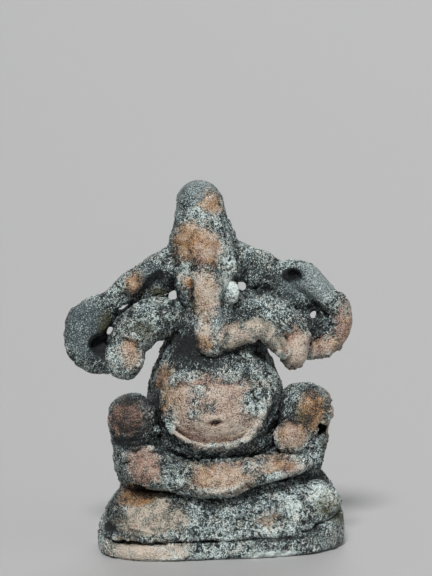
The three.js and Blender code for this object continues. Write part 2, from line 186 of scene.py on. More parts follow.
# Ledges and folds that stand out of the body and its seat
FOLDS = (
    limb("ledge round the foot of the belly", (-8.6, -2.8, 18.6, 0.2), (-8.1, -3.9, 17.2, 0.22),
         (-7, -5.4, 15.7, 0.25), (-5.4, -6.3, 14.5, 0.25), (-3.6, -6.9, 13.95, 0.25),
         (-1.5, -7.2, 13.95, 0.25), (1, -7.1, 14.2, 0.25), (2.7, -6.8, 15.3, 0.25), (3.9, -6.4, 17.6, 0.2),
         blend=0.5),
    limb("crust above the bared belly", (-7.4, -4.1, 21, 0.25), (-5.9, -5.5, 21.7, 0.25),
         (-4, -6.2, 22.1, 0.3), (-2.7, -6.8, 21.6, 0.3), (-0.1, -6.9, 21.4, 0.3), (1.3, -6.8, 20.9, 0.3),
         (2.6, -6.6, 20.1, 0.25), blend=0.6),
    limb("first fold", (3, -6.6, 21.2, 0.3), (3.7, -6.5, 19.4, 0.4), (3.9, -6.4, 17.7, 0.4),
         (3.4, -6.4, 16.1, 0.3), blend=0.12),
    limb("second fold", (4, -5.9, 21.6, 0.3), (4.8, -5.7, 19.5, 0.4), (5.1, -5.6, 17.5, 0.4),
         (4.6, -5.7, 15.6, 0.4), (3.4, -5.8, 14.2, 0.3), blend=0.12),
    limb("fold of the chest", (1.5, -4.9, 25, 0.4), (2.7, -5.1, 23.6, 0.45), (3.3, -5.6, 22.1, 0.4),
         blend=0.3),
    limb("edge of the lap", (-8.4, -7.6, 10.3, 0.2), (-5.9, -8.2, 9.6, 0.25), (-3.6, -8.3, 8.6, 0.25),
         (-1.4, -8.4, 8.4, 0.25), (0.4, -8.4, 9, 0.25), (2.5, -8.1, 9.8, 0.25), (4, -7.5, 9.7, 0.22),
         (5.5, -7.2, 9.9, 0.22), (7.7, -6.4, 10.4, 0.22), (8.9, -5.8, 10.9, 0.2), blend=0.15),
    limb("rim of the navel", (-3, -7.5, 16.9, 0.2), (-2, -7.7, 17.25, 0.3), (-0.9, -7.7, 17.1, 0.2),
         blend=0.3),
    limb("lip above the groove", (4, -7.8, 3.4, 0.2), (4.9, -7.7, 3.05, 0.25), (6.5, -7.4, 2.95, 0.25),
         (8.4, -6.9, 3.2, 0.25), (10.2, -6.3, 3.7, 0.2), blend=0.25),
    limb("lip of the left tier", (-12, -6.6, 4, 0.15), (-10.6, -7.4, 3.75, 0.22), (-8, -8, 3.2, 0.25),
         (-5, -8, 2.7, 0.2), blend=0.25),
    limb("rim of the left eye", (-5.7, -3.4, 32.6, 0.12), (-5.6, -3.6, 33.8, 0.16),
         (-4.8, -4.1, 34.5, 0.16), (-3.9, -4.3, 34, 0.16), (-3.9, -4.3, 32.8, 0.12), blend=0.2),
    limb("top rim of the lap", (-3, -5.6, 11.3, 0.3), (-0.8, -5.8, 11.4, 0.4), (1.3, -5.6, 11.7, 0.3),
         blend=0.3),
)

# A row of knobs runs down between the left knee and the belly
KNOBS = (
    (-9.0, -3.0, 18.7), (-9.1, -3.6, 17.6), (-8.9, -3.8, 16.5), (-8.6, -3.9, 15.4), (-8.3, -4.5, 14.4),
)
KNOB_RADIUS = 0.34
KNOB_BLEND = 0.4

# Grooves and hollows, cut from the clay in the same two ways
CUTS = (
    limb("belt under the belly", (-8.6, -4.6, 18.4, 0.5), (-8, -5, 15.8, 0.65), (-6.4, -6, 13.6, 0.85),
         (-4.1, -7, 12.7, 0.95), (-1.7, -7.4, 12.5, 1.0), (1.1, -7.3, 12.8, 0.95), (3, -6.7, 13.5, 0.8),
         (4.6, -6.1, 15.1, 0.65), (5.3, -5.6, 18, 0.5), blend=0.15),
    limb("undercut below the shins", (-12.4, -5.6, 8.4, 0.7), (-8.7, -7.6, 7.9, 0.8), (-4, -8.6, 6.9, 0.8),
         (0.8, -8.6, 7.1, 0.8), (5.8, -7.6, 8.2, 0.9), (10.1, -5.6, 9.2, 0.9), blend=0.4),
    limb("gap beside the left knee", (-8.6, -3.4, 20.2, 0.45), (-8.4, -3.6, 18.2, 0.45),
         (-7.9, -4.2, 16.1, 0.45), (-7.1, -5, 14.2, 0.5), (-6.2, -6, 12.8, 0.45), blend=0.2),
    limb("gap between the folds", (3.6, -6.3, 21.3, 0.2), (4.3, -6.1, 19.4, 0.25), (4.5, -6, 17.6, 0.25),
         (4, -6.1, 15.8, 0.2), blend=0.1),
    limb("gap inside the first fold", (2.6, -6.9, 20.2, 0.15), (3.2, -6.8, 18.6, 0.2),
         (3.2, -6.9, 17, 0.15), blend=0.1),
    limb("gap beside the right knee", (5.2, -5.8, 19.6, 0.4), (5.6, -5.4, 17.6, 0.5), (5.6, -5, 15.8, 0.5),
         (5.2, -5, 13.6, 0.5), blend=0.2),
    Lump("hollow in the left ring", (-15.2, -1.7, 25.4), (1.3, 1.7, 1.1), 0.25, -25),
    limb("slot in the left ring", (-16.3, -1.8, 25.5, 0.2), (-15.3, -1.7, 25.9, 0.5),
         (-14.2, -1.5, 26.2, 0.65), blend=0.12),
    Lump("dimple in the right ring", (8.7, -1.7, 33.6), (1.15, 1.6, 0.8), 0.15, 30),
    Lump("navel", (-1.9, -7.9, 16.55), (1.0, 0.75, 0.4), 0.15, -14),
    Lump("pit in the right knee", (11.5, -4.4, 15.1), (0.75, 1.9, 1.0), 0.15),
    Lump("pocket in the lap", (5.0, -7.7, 10.7), (1.0, 0.6, 0.6), 0.2, -10),
    limb("crack beside the right ear", (2.3, -1.6, 35.3, 0.25), (2.4, -1.4, 33.1, 0.35), blend=0.2),
    limb("crease in the left upper arm", (-13.8, -1.6, 31.9, 0.3), (-13.6, -1.9, 31, 0.3),
         (-13.5, -1.6, 30.2, 0.3), blend=0.3),
    limb("groove under the left upper arm", (-10.4, -1.3, 31.4, 0.4), (-9.2, -1.4, 32.6, 0.7),
         (-7.9, -1.5, 34, 0.55), blend=0.12),
    limb("channel between the right arm and its ring", (6.2, -1.5, 33.3, 0.3), (7.5, -1.5, 32.1, 0.45),
         (9, -1.4, 30.5, 0.55), (10.2, -1.8, 28.4, 0.6), (10.5, -2.6, 26.6, 0.5), (10.6, -3, 25.2, 0.4),
         blend=0.2),
    limb("crease in the right ring", (14.3, -1.6, 31, 0.25), (13.1, -1.6, 29.9, 0.27), blend=0.3),
    limb("crease above the left anklet", (-14.2, -3.4, 14.5, 0.5), (-12.9, -5, 13.8, 0.65),
         (-11.6, -6.2, 13.8, 0.65), (-10.3, -6.9, 14.5, 0.55), (-9.2, -6.9, 15.2, 0.4), blend=0.2),
    limb("crease under the brow", (-5.8, -2.7, 36, 0.2), (-4.6, -3.9, 36, 0.2), blend=0.3),
    limb("crease left of the trunk", (-4.3, -4.7, 33, 0.15), (-4.1, -4.9, 31.2, 0.2), (-3.9, -5.2, 30, 0.2),
         blend=0.2),
    limb("crease right of the trunk", (-0.5, -4.3, 33.6, 0.25), (-0.5, -4.6, 31.4, 0.35),
         (-0.8, -5, 29.4, 0.3), blend=0.3),
    limb("crease between the trunk and its curl", (-0.5, -6.6, 28.1, 0.15), (-0.7, -7, 26.8, 0.22),
         (-1, -6.9, 25.4, 0.15), blend=0.2),
    limb("crease at the right hand", (5.7, -6.6, 27, 0.2), (6.5, -6.2, 25.7, 0.22), (6.9, -6, 24.6, 0.2),
         blend=0.15),
    limb("step at the foot of the upper tier", (-14.7, -2.4, 3.6, 0.5), (-14.1, -5, 3.5, 0.6),
         (-12.6, -7.1, 3.2, 0.55), (-10.4, -8.2, 2.9, 0.45), (-7, -8.4, 2.6, 0.3), blend=0.2),
    limb("first crack in the tier", (8.7, -5.6, 7, 0.2), (9.4, -5.8, 6.3, 0.35), (10.2, -5.7, 5.4, 0.25),
         blend=0.15),
    limb("second crack in the tier", (2, -6.4, 6.8, 0.2), (3.4, -6.5, 7, 0.3), (5, -6.3, 7, 0.2),
         blend=0.15),
    limb("third crack in the tier", (5.3, -7.5, 5, 0.2), (6.4, -7.2, 4.8, 0.3), (7.6, -6.9, 4.7, 0.2),
         blend=0.15),
    limb("fourth crack in the tier", (8.6, -6.9, 3.9, 0.25), (10, -6.4, 4.3, 0.4), (11.4, -5.9, 4.7, 0.3),
         blend=0.15),
    limb("crack in the left of the tier", (-6.6, -6.9, 6.6, 0.2), (-5.6, -7.2, 6, 0.3),
         (-4.8, -7.5, 5.2, 0.2), blend=0.15),
    limb("worn foot at the right", (3, -8.9, -0.9, 0.8), (8, -7.9, -0.7, 1.1), (11.5, -6.7, -0.5, 1.2),
         (14.4, -4.2, -0.3, 1.2), blend=0.3),
    Lump("first hollow of the left arm", (-10.8, -4.7, 27.9), (0.8, 0.7, 0.6), 0.2, 20),
    Lump("second hollow of the left arm", (-9.3, -4.5, 27.4), (0.6, 0.7, 0.5), 0.2),
    Lump("pit in the right arm", (5.8, -3.7, 30.0), (0.4, 0.7, 0.25), 0.1, 10),
    Lump("slit in the left arm", (-12, 0, 29.9), (0.5, 8, 1.15), 0.1, 58),
    Lump("gap in the left ring", (-13.6, 0, 27), (0.6, 8, 0.75), 0.15, 30),
    Lump("gap left of the head", (-6, 0, 31.2), (0.75, 8, 1.0), 0.15, 20),
    Lump("gap right of the head", (2.5, 0, 32.2), (0.9, 8, 0.85), 0.15),
    Lump("gap in the right ring", (11.4, 0, 28.4), (0.6, 8, 0.65), 0.15),
)

# Where metal shows: middle, half sizes, and tone from -1, olive, through 0, pink, to 1, orange
Patch = namedtuple("Patch", "name at half tone", defaults=(0.0,))
BARE = (
    Patch("crown", (-1.9, -2.0, 42.7), (1.1, 1.5, 1.3), 0.8),
    Patch("left of the brow", (-4.6, -3.4, 38.2), (1.9, 2.8, 2.4), 1.1),
    Patch("right of the brow", (-2.6, -4.0, 37.6), (1.9, 2.8, 2.4), 0.45),
    Patch("middle of the trunk", (-2.9, -5.6, 32.2), (1.4, 2.4, 2.6), 0.75),
    Patch("end of the hanging trunk", (-3.0, -6.6, 26.7), (0.8, 1.6, 1.5), 0.6),
    Patch("left eye", (-4.8, -4.3, 33.3), (0.85, 1.2, 0.85), 2.4),
    Patch("curl of the trunk", (0.7, -6.6, 27.0), (2.3, 1.8, 1.5), -0.9),
    Patch("top of the curl", (3.4, -6.4, 27.6), (2.4, 1.8, 1.4), -1.3),
    Patch("end of the curl", (5.8, -5.8, 26.3), (1.2, 1.6, 1.5), -1.0),
    Patch("left upper bead", (-11.0, -1.4, 33.0), (1.0, 1.5, 1.1), 1.2),
    Patch("left hand", (-11.8, -4.8, 25.2), (1.0, 1.8, 1.9), 0.4),
    Patch("right hand", (8.7, -4.8, 25.0), (2.1, 2.4, 2.5), 0.2),
    Patch("right ring", (15.2, -0.6, 27.2), (1.2, 2.2, 3.5), 0.2),
    Patch("stepped edge of the belly", (-1.2, -6.9, 20.6), (3.6, 1.6, 0.5), 0.9),
    Patch("foot of the right ring", (12.5, -0.9, 24.6), (2.4, 2.0, 1.2), 0.4),
    Patch("belly", (-2.3, -6.6, 17.8), (6.4, 4.2, 4.2), 0.0),
    Patch("top of the belly", (-1.0, -7.6, 20.2), (2.6, 3.0, 1.4), 0.2),
    Patch("left of the belly", (-6.0, -6.2, 18.6), (2.4, 3.0, 2.6), 0.75),
    Patch("foot of the belly", (0.6, -7.6, 15.9), (2.6, 2.4, 1.3), 0.1),
    Patch("right of the belly", (1.5, -7.4, 17.8), (1.6, 2.4, 1.6), -0.3),
    Patch("left knee", (-12.2, -5.0, 17.0), (2.1, 2.2, 2.1), 0.1),
    Patch("left shin", (-10.6, -7.0, 11.4), (2.1, 2.2, 2.1), -0.2),
    Patch("waist at the left", (-11.2, -4.2, 7.5), (2.8, 3.4, 1.7), 1.0),
    Patch("upper tier at the left", (-10.3, -7.2, 5.0), (4.6, 3.4, 1.9), -1.1),
    Patch("slab at the left", (-11.3, -7.4, 1.2), (4.8, 3.2, 1.4), -1.4),
    Patch("middle of the lap", (-1.3, -8.0, 10.0), (3.6, 2.2, 1.8), 0.6),
    Patch("lap at the right", (6.0, -6.8, 11.2), (3.0, 2.0, 1.0), 0.5),
    Patch("bud beside the right knee", (7.4, -6.8, 14.6), (2.0, 1.6, 1.7), 0.4),
    Patch("right knee", (10.2, -5.5, 17.4), (1.5, 2.0, 2.0), 0.9),
    Patch("rim of the right knee", (12.7, -3.0, 15.4), (0.5, 1.8, 2.2), 0.6),
    Patch("upper tier at the right", (4.5, -8.0, 4.7), (1.0, 1.5, 0.7), 0.7),
    Patch("left of the torso", (-7.8, -3.6, 21.6), (1.2, 2.0, 1.8), 0.8),
)

# Islands of crust left on the bared metal
CRUSTED = (
    Patch("first island on the belly", (-3.5, -7.4, 20.5), (0.9, 2.0, 0.9)),
    Patch("second island on the belly", (-4.4, -7.6, 18.3), (0.6, 2.0, 1.4)),
    Patch("crust at the right of the belly", (3.2, -7.0, 19.0), (2.2, 2.0, 2.0)),
    Patch("island above the navel", (-2.5, -8.0, 18.4), (0.4, 2.0, 0.5)),
    Patch("island at the left of the belly", (-7.0, -5.6, 16.4), (0.8, 2.0, 1.6)),
)

# Places made lighter where the tone is over 0 and darker where it is under 0: partly verdigris and dark
# patina, partly painted light on lit faces and painted shade in recesses, gaps and under parts
SHADE = (
    # The groove at the right and the channel of the right ring are darkened as painted shade in them
    Patch("groove at the right", (8.5, -6.6, 3.05), (4.5, 2.0, 0.3), -0.9),
    Patch("channel of the right ring", (8.7, -1.4, 31.2), (1.7, 1.2, 0.9), -0.9),
    Patch("left edge of the trunk", (-4.3, -4.7, 31.6), (0.35, 1.4, 2.6), -0.7),
    Patch("knobs", (-8.0, -5.6, 13.6), (1.2, 1.4, 1.9), -1.0),
    Patch("smooth place beside the navel", (0.9, -7.4, 15.3), (2.2, 1.2, 1.0), 0.5),
    Patch("right of the belly's bare patch", (1.6, -6.9, 18.9), (1.0, 1.2, 1.2), 0.3),
    Patch("left hand", (-12.9, -4.4, 24.2), (1.4, 1.8, 2.4), 0.3),
    Patch("rim of the left eye", (-4.8, -4.2, 33.5), (1.3, 1.2, 1.2), 0.75),
    Patch("left eye", (-4.8, -4.4, 33.3), (0.6, 1.2, 0.6), -0.8),
    Patch("right hand", (8.6, -4.8, 24.9), (2.0, 2.0, 2.0), 0.45),
    Patch("right edge of the trunk", (-0.35, -3.9, 31.8), (0.5, 1.4, 3.2), 0.8),
    Patch("shadow of the belly's edge", (-1.6, -6.9, 21.4), (4.4, 1.2, 0.3), -0.5),
    Patch("lower left ring", (-15.6, -1.5, 23.6), (2.2, 2.0, 1.6), -0.2),
    # The left end of the tier faces away from the key light and is darkened as painted shade
    Patch("left end of the tier", (-14.2, -3.2, 5.0), (1.7, 3.6, 2.6), -0.8),
    # The slot, the dimple and the pit are darkened to black as painted shadow in their openings
    Patch("slot in the left ring", (-15.2, -1.4, 26.0), (1.3, 1.6, 0.6), -1.3),
    Patch("dimple in the right ring", (8.7, -1.0, 33.5), (1.35, 1.4, 1.0), -2.4),
    Patch("pit in the right knee", (11.6, -4.0, 15.1), (0.8, 1.8, 1.0), -1.6),
    Patch("lip above the groove", (6.5, -7.6, 3.1), (3.6, 1.2, 0.5), 0.9),
    Patch("neck of the trunk", (-2.8, -4.6, 34.9), (1.9, 1.4, 0.5), -0.45),
    Patch("belly", (-2.3, -6.6, 17.6), (6.0, 4.2, 3.9), 0.6),
    Patch("middle of the trunk", (-2.6, -5.6, 32.9), (1.2, 1.5, 1.8), 0.45),
    Patch("navel", (-1.9, -7.2, 16.6), (0.8, 1.0, 0.4), -0.8),
    Patch("islands of crust on the belly", (-3.8, -7.0, 19.6), (1.2, 1.5, 1.2), -0.4),
    Patch("left hand", (-12.2, -4.8, 24.9), (2.0, 2.4, 2.6), -0.15),
    Patch("slab at the middle", (0.0, -7.8, 1.3), (5.0, 2.0, 1.0), -0.45),
    Patch("left upper bead", (-11.4, -1.4, 32.8), (1.5, 2.0, 1.5), -0.7),
    Patch("right ring, lower part", (14.4, -0.8, 26.8), (2.0, 2.4, 3.6), -0.45),
    Patch("front of the tier", (1.5, -7.4, 5.2), (8.5, 2.4, 2.0), 0.5),
    Patch("band round the crown", (-3.1, -2.6, 40.8), (2.0, 2.0, 1.2), 0.35),
    Patch("top of the crown", (-3.0, 0.0, 44.0), (3.0, 3.0, 1.8), 0.2),
    Patch("left of the eyes", (-6.0, -1.5, 35.0), (1.0, 2.0, 2.2), -0.3),
    Patch("left cheek", (-4.9, -3.5, 35.2), (1.0, 1.4, 1.1), 0.25),
    Patch("right of the face", (0.0, -3.5, 35.5), (1.3, 2.0, 3.2), 1.1),
    Patch("right tusk", (0.4, -3.8, 31.7), (1.0, 1.6, 1.7), 1.9),
    Patch("side of the trunk", (-1.1, -5.4, 28.2), (0.8, 2.0, 2.6), 0.8),
    Patch("foot of the trunk", (-2.5, -6.6, 25.0), (1.5, 1.4, 0.6), 1.0),
    Patch("left ring", (-16.8, -1.0, 26.8), (3.5, 2.5, 5.0), -0.75),
    Patch("hollow in the left ring", (-14.8, -1.5, 25.6), (1.6, 2.5, 1.6), -0.8),
    Patch("rim of the left arm", (-9.0, -2.2, 30.6), (4.2, 1.5, 0.7), 0.2),
    Patch("left of the shoulder", (-7.9, -1.0, 33.0), (2.0, 2.0, 1.8), -0.9),
    Patch("under the left arm", (-6.0, -3.5, 26.4), (3.0, 2.5, 2.0), -0.6),
    Patch("right ear", (5.0, -1.0, 33.8), (2.6, 2.0, 2.6), -0.5),
    Patch("right arm", (4.8, -3.2, 30.0), (3.4, 1.8, 1.6), -0.1),
    Patch("right ring, smooth part", (10.9, -1.4, 32.4), (3.4, 1.8, 2.4), 1.1),
    # Inside the right ring, and on the chest under the trunk and arms, the crust is darkened as painted
    # shadow
    Patch("inside the right ring", (11.4, -0.6, 28.0), (1.7, 2.0, 2.6), -1.1),
    Patch("chest", (-3.0, -4.8, 24.6), (4.4, 2.6, 2.4), -1.0),
    Patch("right of the chest", (3.0, -5.2, 23.6), (1.6, 1.8, 2.6), 0.35),
    Patch("right of the belly", (3.6, -6.5, 18.8), (1.3, 2.0, 4.2), 0.35),
    Patch("left of the belly", (-8.3, -3.4, 18.6), (0.9, 2.4, 3.2), -0.6),
    Patch("ledge of the belly", (-1.6, -7.5, 13.6), (5.2, 1.2, 0.25), 0.45),
    Patch("belt", (-1.8, -6.2, 12.8), (6.8, 2.2, 1.1), 0.35),
    Patch("left knee", (-11.6, -4.0, 17.0), (2.8, 3.0, 2.8), -1.1),
    Patch("groove of the left knee", (-12.2, -5.2, 14.0), (2.4, 2.0, 0.9), -0.8),
    Patch("anklet", (-10.9, -6.8, 13.2), (1.9, 1.2, 0.6), -0.3),
    Patch("left shin", (-10.6, -7.0, 11.4), (2.0, 2.0, 1.6), -0.25),
    Patch("beside the left shin", (-7.6, -7.6, 9.4), (1.4, 1.6, 1.6), -0.3),
    Patch("edge of the lap", (-0.8, -8.6, 8.6), (4.9, 1.2, 0.3), 0.5),
    Patch("right knee", (8.8, -4.6, 17.8), (3.4, 3.0, 2.8), -0.6),
    Patch("under the bud", (9.6, -4.8, 12.6), (2.2, 2.0, 1.4), 0.75),
    Patch("recess under the lap", (-0.6, -6.6, 7.2), (11.0, 2.4, 0.8), 0.35),
    Patch("right of the tier", (9.8, -5.4, 6.2), (4.6, 3.2, 2.6), 0.75),
    Patch("groove of the slab", (-2.0, -7.6, 2.3), (12.5, 2.0, 0.32), -1.1),
    Patch("slab at the left", (-10.5, -7.6, 1.3), (5.0, 3.0, 1.3), 1.0),
    Patch("upper tier at the left", (-10.3, -7.2, 5.2), (4.2, 3.0, 1.8), 0.35),
    Patch("waist at the left", (-11.2, -4.2, 7.6), (2.8, 3.4, 1.3), -0.2),
    Patch("right of the slab", (9.6, -6.6, 1.4), (5.0, 2.5, 1.4), -0.5),
    Patch("foot of the slab", (5.4, -8.2, 0.35), (3.2, 1.6, 0.6), 3.2),
)

# Smooth places that have kept the grey skin of the casting
GREY = (
    Patch("left ring", (-17.1, -1.6, 28.0), (2.7, 1.8, 4.2)),
    Patch("right ring", (10.6, -1.3, 32.6), (3.9, 1.8, 2.2)),
    Patch("side of the trunk", (-1.1, -5.4, 28.2), (0.9, 2.2, 2.8)),
    Patch("top of the crown", (-3.1, -0.6, 43.8), (2.5, 3.0, 1.7)),
    Patch("left upper arm", (-8.9, -1.0, 33.9), (1.5, 1.2, 1.2)),
)

# Earthy, olive places
EARTH = (
    Patch("waist at the left", (-10.9, -5.4, 7.3), (3.4, 3.0, 1.4)),
    Patch("mound at the right of the tier", (12.2, -5.0, 6.0), (1.6, 2.0, 1.5)),
    Patch("inside the left ring", (-14.5, -1.2, 27.5), (0.9, 1.2, 2.0)),
    Patch("hollow of the left arm", (-10.5, -3.5, 27.3), (1.7, 1.3, 1.5)),
    Patch("web of the left ear", (-7.9, -0.8, 31.8), (0.8, 1.0, 0.6)),
    Patch("slab at the right", (13.7, -3.0, 4.1), (1.5, 1.5, 1.5)),
    Patch("right knee", (9.5, -5.5, 17.0), (1.2, 1.5, 1.2)),
)

# Corners of the volume of clay, a distance that stands for far off, and how far round a shape it is worked
CLAY_LOW = (-20.5, -10.5, -0.9)
CLAY_HIGH = (17.5, 9.5, 46.5)
FAR = 4.0
SHAPE_MARGIN = 1.2
# Lengths of the curve between two stations of a limb
CURVE_STEPS = 4
# Values that stand in for zero where something is divided by it
LEAST_SLOPE = 1e-6
LEAST_LENGTH = 1e-9
# How widely the surface is averaged to find small hollows and deep ones, which the colours darken as dark
# patina and painted shade
HOLLOW_REACH = 0.9
DEEP_REACH = 2.4
# Pale crust and painted highlight given along ledges, painted shade taken along grooves and gaps, and how
# near to them it reaches
LEDGE_LIGHT = 0.08
PAINTED_GROOVE_SHADE = 0.8
STROKE_REACH = 0.3
# Patches are no deeper than this, so that noise leaves islands of crust in them
BARE_DEPTH = 0.68
# A patch of lighter or darker crust fades out at this share of its half sizes
PATCH_EDGE = 1.3
# A piece of the skin with fewer points than this is a loose crumb
CRUMB_POINTS = 5000.0

# A cloud is noise with features of a size in millimetres; the shift sets it apart from the others
Cloud = namedtuple("Cloud", "size detail shift roughness", defaults=(0.5,))
CRUST_CLOUDS = {
    "wear": Cloud(4.5, 2.0, 20.0),
    "edge": Cloud(1.5, 4.0, 0.0, 0.62),
    "flakes": Cloud(2.6, 5.0, 30.0, 0.6),
    "wave": Cloud(3.4, 2.0, 1.0),
    "wart zones": Cloud(2.2, 2.0, 5.0),
    "grain": Cloud(0.45, 3.0, 9.0, 0.75),
}
# Inputs of the crust's nodes, and the property that sets each
CRUST_INPUTS = {
    "Crust": "thickness", "Wave": "wave", "Flake": "flake", "Pit Depth": "pit_depth",
    "Pit Size": "pit_size", "Nodule": "nodule", "Grain": "grain", "Seed": "seed",
}

# A span is where a soft step starts and ends. The back starts between these depths, in millimetres
BACK_SPAN = (-1.5, 2.0)
# Behind, metal shows where the wear cloud passes a level, with this many millimetres of patch for each unit
WEAR_LEVEL = 0.62
WEAR_STEEPNESS = 14.0
# In front, this is added to such a patch, so that hardly any shows there
FRONT_GUARD = -3.0
# How far noise moves the edge of a bare patch, in millimetres, and the span from crust to metal across it
EDGE_RAGGED = 3.0
BARED_SPAN = (-0.1, 0.15)
# The span across the edge of smooth casting skin
SKIN_SPAN = (-0.3, 0.3)
# How smooth bared metal is beside the casting's own skin, and how much roughness that takes off
METAL_SMOOTH = 0.9
SMOOTHING = 0.8
# The crust stands up in a lip where it ends
LIP_SPANS = ((-0.5, -0.12), (0.12, -0.05))
LIP_HEIGHT = 0.7
# A flake ends at each level of the flake cloud, with a ledge just above the level and a crack at it; the
# colours make the ledge pale, partly as painted highlight, and the crack dark, partly as painted shadow
# under the flake
FLAKE_LEVELS = (0.455, 0.535)
STEP_SPAN = (0.0, 0.015)
LEDGE_SPANS = ((0.007, 0.015), (0.037, 0.019))
CRACK_SPANS = ((-0.019, -0.003), (0.009, 0.0))
# Where pits and warts lie, as spans of their noise, and the grain on rough and on smooth places
PIT_DETAIL = 2.0
PIT_SHIFT = 3.0
PIT_SPAN = (0.57, 0.70)
WART_SPACING = 0.7
WART_SOFTNESS = 0.35
WART_SPAN = (0.55, 0.1)
WART_ZONE_SPAN = (0.42, 0.6)
ROUGH_GRAIN = 1.7
SMOOTH_GRAIN = 0.3
# The crust starts between these heights, in millimetres, so that the underside stays flat
RIM_SPAN = (0.02, 0.5)

# Speckle of four sizes, and the clouds that change the colours from place to place
SPECKLES = {
    "fine": Cloud(0.12, 1.0, 1.0, 0.6),
    "small": Cloud(0.27, 2.0, 2.0, 0.6),
    "middling": Cloud(0.9, 3.0, 4.0, 0.6),
    "broad": Cloud(2.4, 2.0, 3.0),
}
COLOUR_CLOUDS = {
    **SPECKLES,
    "tint": Cloud(1.6, 3.0, 14.0, 0.6),
    "pale": Cloud(1.3, 3.0, 24.0, 0.6),
    "tone": Cloud(1.1, 3.0, 8.0, 0.6),
}
# Values on the points of the mesh that the colours read as they are
NOTES = ("edge", "lip", "pit", "wart", "ledge", "crack", "deep", "shade")
# What speckle and shape add to the lightness of crust, which starts at a value, of casting skin and of
# metal; hollow and deep darken as dark patina and painted shade, ridge and ledge lighten as painted
# highlight, crack darkens as painted shadow, and shade brings the patches' painted light and shade
CRUST_START = -0.1
CRUST_LIGHT = {
    "fine": 4.2, "small": 1.2, "middling": 1.1, "broad": 0.9, "shade": 0.4, "hollow": -1.2, "ridge": 0.15,
    "deep": -0.3, "walls": 0.35, "ledge": 0.3, "wart": 0.06, "lip": 0.08, "pit": -0.25, "crack": -0.8,
}
SKIN_LIGHT = {"fine": 5.0, "small": 1.2, "middling": 0.6, "broad": 0.7, "ridge": 0.3, "shade": 0.3}
METAL_LIGHT = {
    "fine": 1.7, "small": 0.6, "middling": 1.1, "broad": 0.8, "hollow": -1.0, "ridge": 0.5, "shade": 0.45,
    "deep": -0.2,
}
# Speckle at the edge between metal and crust, in earthy places and in the finest relief
EDGE_MIX = {"edge": 1.0, "fine": 2.4, "small": 2.4, "middling": 2.4}
EARTH_MIX = {"small": 1.0, "fine": 0.6}
RELIEF_MIX = {"fine": 0.6, "small": 1.0, "middling": 0.9}

# A layer is a colour laid over the last as an amount crosses a span, up to a share
Layer = namedtuple("Layer", "colour span share", defaults=(1.0,))
GREEN_LAYERS = (Layer("verdigris", (0.40, 0.52)), Layer("sand", (0.54, 0.66), 0.8))
PALE_LAYERS = (Layer("cream", (0.48, 0.62), 0.5),)
# White on the lightest crust is pale crust and also painted glints on its grains
CRUST_LAYERS = (
    Layer("slate", (-0.36, -0.1)),
    Layer("green", (-0.14, 0.12)),
    Layer("pale", (0.1, 0.46)),
    Layer("white", (0.5, 0.9), 0.9),
)
SKIN_LAYERS = (Layer("grey", (-0.25, 0.3)), Layer("frost", (0.15, 0.7), 0.7))
TONE_LAYERS = (Layer("pink", (-1.1, -0.1)), Layer("orange", (0.1, 0.9)), Layer("rust", (0.95, 1.5)))
# Brown and black where metal is dark, cream where it is light: partly dulled and worn copper, partly painted
# shade in hollows and painted highlight on ridges and lit patches
WEAR_AND_PAINTED_LIGHT_LAYERS = (
    Layer("brown", (0.02, -0.26)), Layer("cream", (0.08, 0.44)), Layer("black", (-0.28, -0.42), 0.8),
)
# Black where the painted shade is deepest, as painted shadow in pits, slots and gaps
PAINTED_SHADOW_LAYERS = (Layer("black", (-0.85, -1.45), 0.92),)

# A Mix node's sockets for its share and two colours, and the one for the mixed colour
MIX_INPUTS = (0, 6, 7)
MIX_RESULT = 2

# Cells of the frothy crust, in millimetres, how thin their walls are, their mean, and where froth shows
FROTH_SIZE = 0.55
WALL_SPAN = (0.3, 0.02)
WALL_MEAN = 0.35
FROTH_SPAN = (-0.05, 0.12)
# Spans across the edges of casting skin and of earth, and how much of their colours shows
GREY_SPAN = (-0.3, 0.5)
SKIN_SHARE = 0.85
EARTH_SPAN = (-0.5, 0.5)
EARTH_SPECKLE_SPAN = (-0.1, 0.08)
EARTH_SHARE = 0.7
# How far noise changes the copper's tone
TONE_CHANGE = 3.0
# The span from crust to metal for the colour, and how much of the metal's colour shows
METAL_SPAN = (-0.6, 0.8)
METAL_SHARE = 0.92
# Roughness of the crust, what metal and casting skin take off it and small speckle adds, and how metallic
CRUST_DULL = 0.68
METAL_GLOSS = 0.2
SKIN_GLOSS = 0.27
SPECKLE_DULL = 0.6
METAL_METALLIC = 0.3
SKIN_METALLIC = 0.45
# Depth of the finest grain, which is too small to model, in millimetres
BUMP_DEPTH = 0.28

# Floor, light and camera
FLOOR_HALF = 3000
FLOOR_ROUGHNESS = 0.55
WORLD_COLOUR = (0.62, 0.64, 0.66, 1.0)
WORLD_STRENGTH = 0.26
# Each lamp: name, where it shines from, strength, and how wide and so how soft it is, in degrees
Lamp = namedtuple("Lamp", "name at strength width")
LAMPS = (
    Lamp("key", (-0.3, -1.0, 1.05), 3.0, 12.0),
    Lamp("fill", (0.9, -0.8, 0.5), 0.4, 60.0),
    Lamp("back", (0.3, 1.0, 0.9), 0.7, 45.0),
)
AIM = (-0.75, 0.0, 32.0)
SENSOR = 36.0
CLIP_NEAR = 0.01
CLIP_FAR = 50.0


def length(name, description, millimetres, **settings):
    """A length that the user may change, given in the figure's millimetres."""
    return FloatProperty(
        name=name, description=description, default=millimetres * MM, unit="LENGTH", precision=5, **settings
    )


def colour(name, description, value):
    """A colour that the user may change."""
    return FloatVectorProperty(
        name=name, description=description, default=(*value, 1.0), size=4, subtype="COLOR", min=0.0, max=1.0
    )


class StatuetteForm(bpy.types.PropertyGroup):
    """How finely the figure is modelled."""

    cell: length("Cell", "Edge of one cell of the clay volume", 0.18, min=0.1 * MM)
    triangles: IntProperty(
        name="Triangles", description="Most triangles that the finished figure may have", default=194000,
        min=10000,
    )


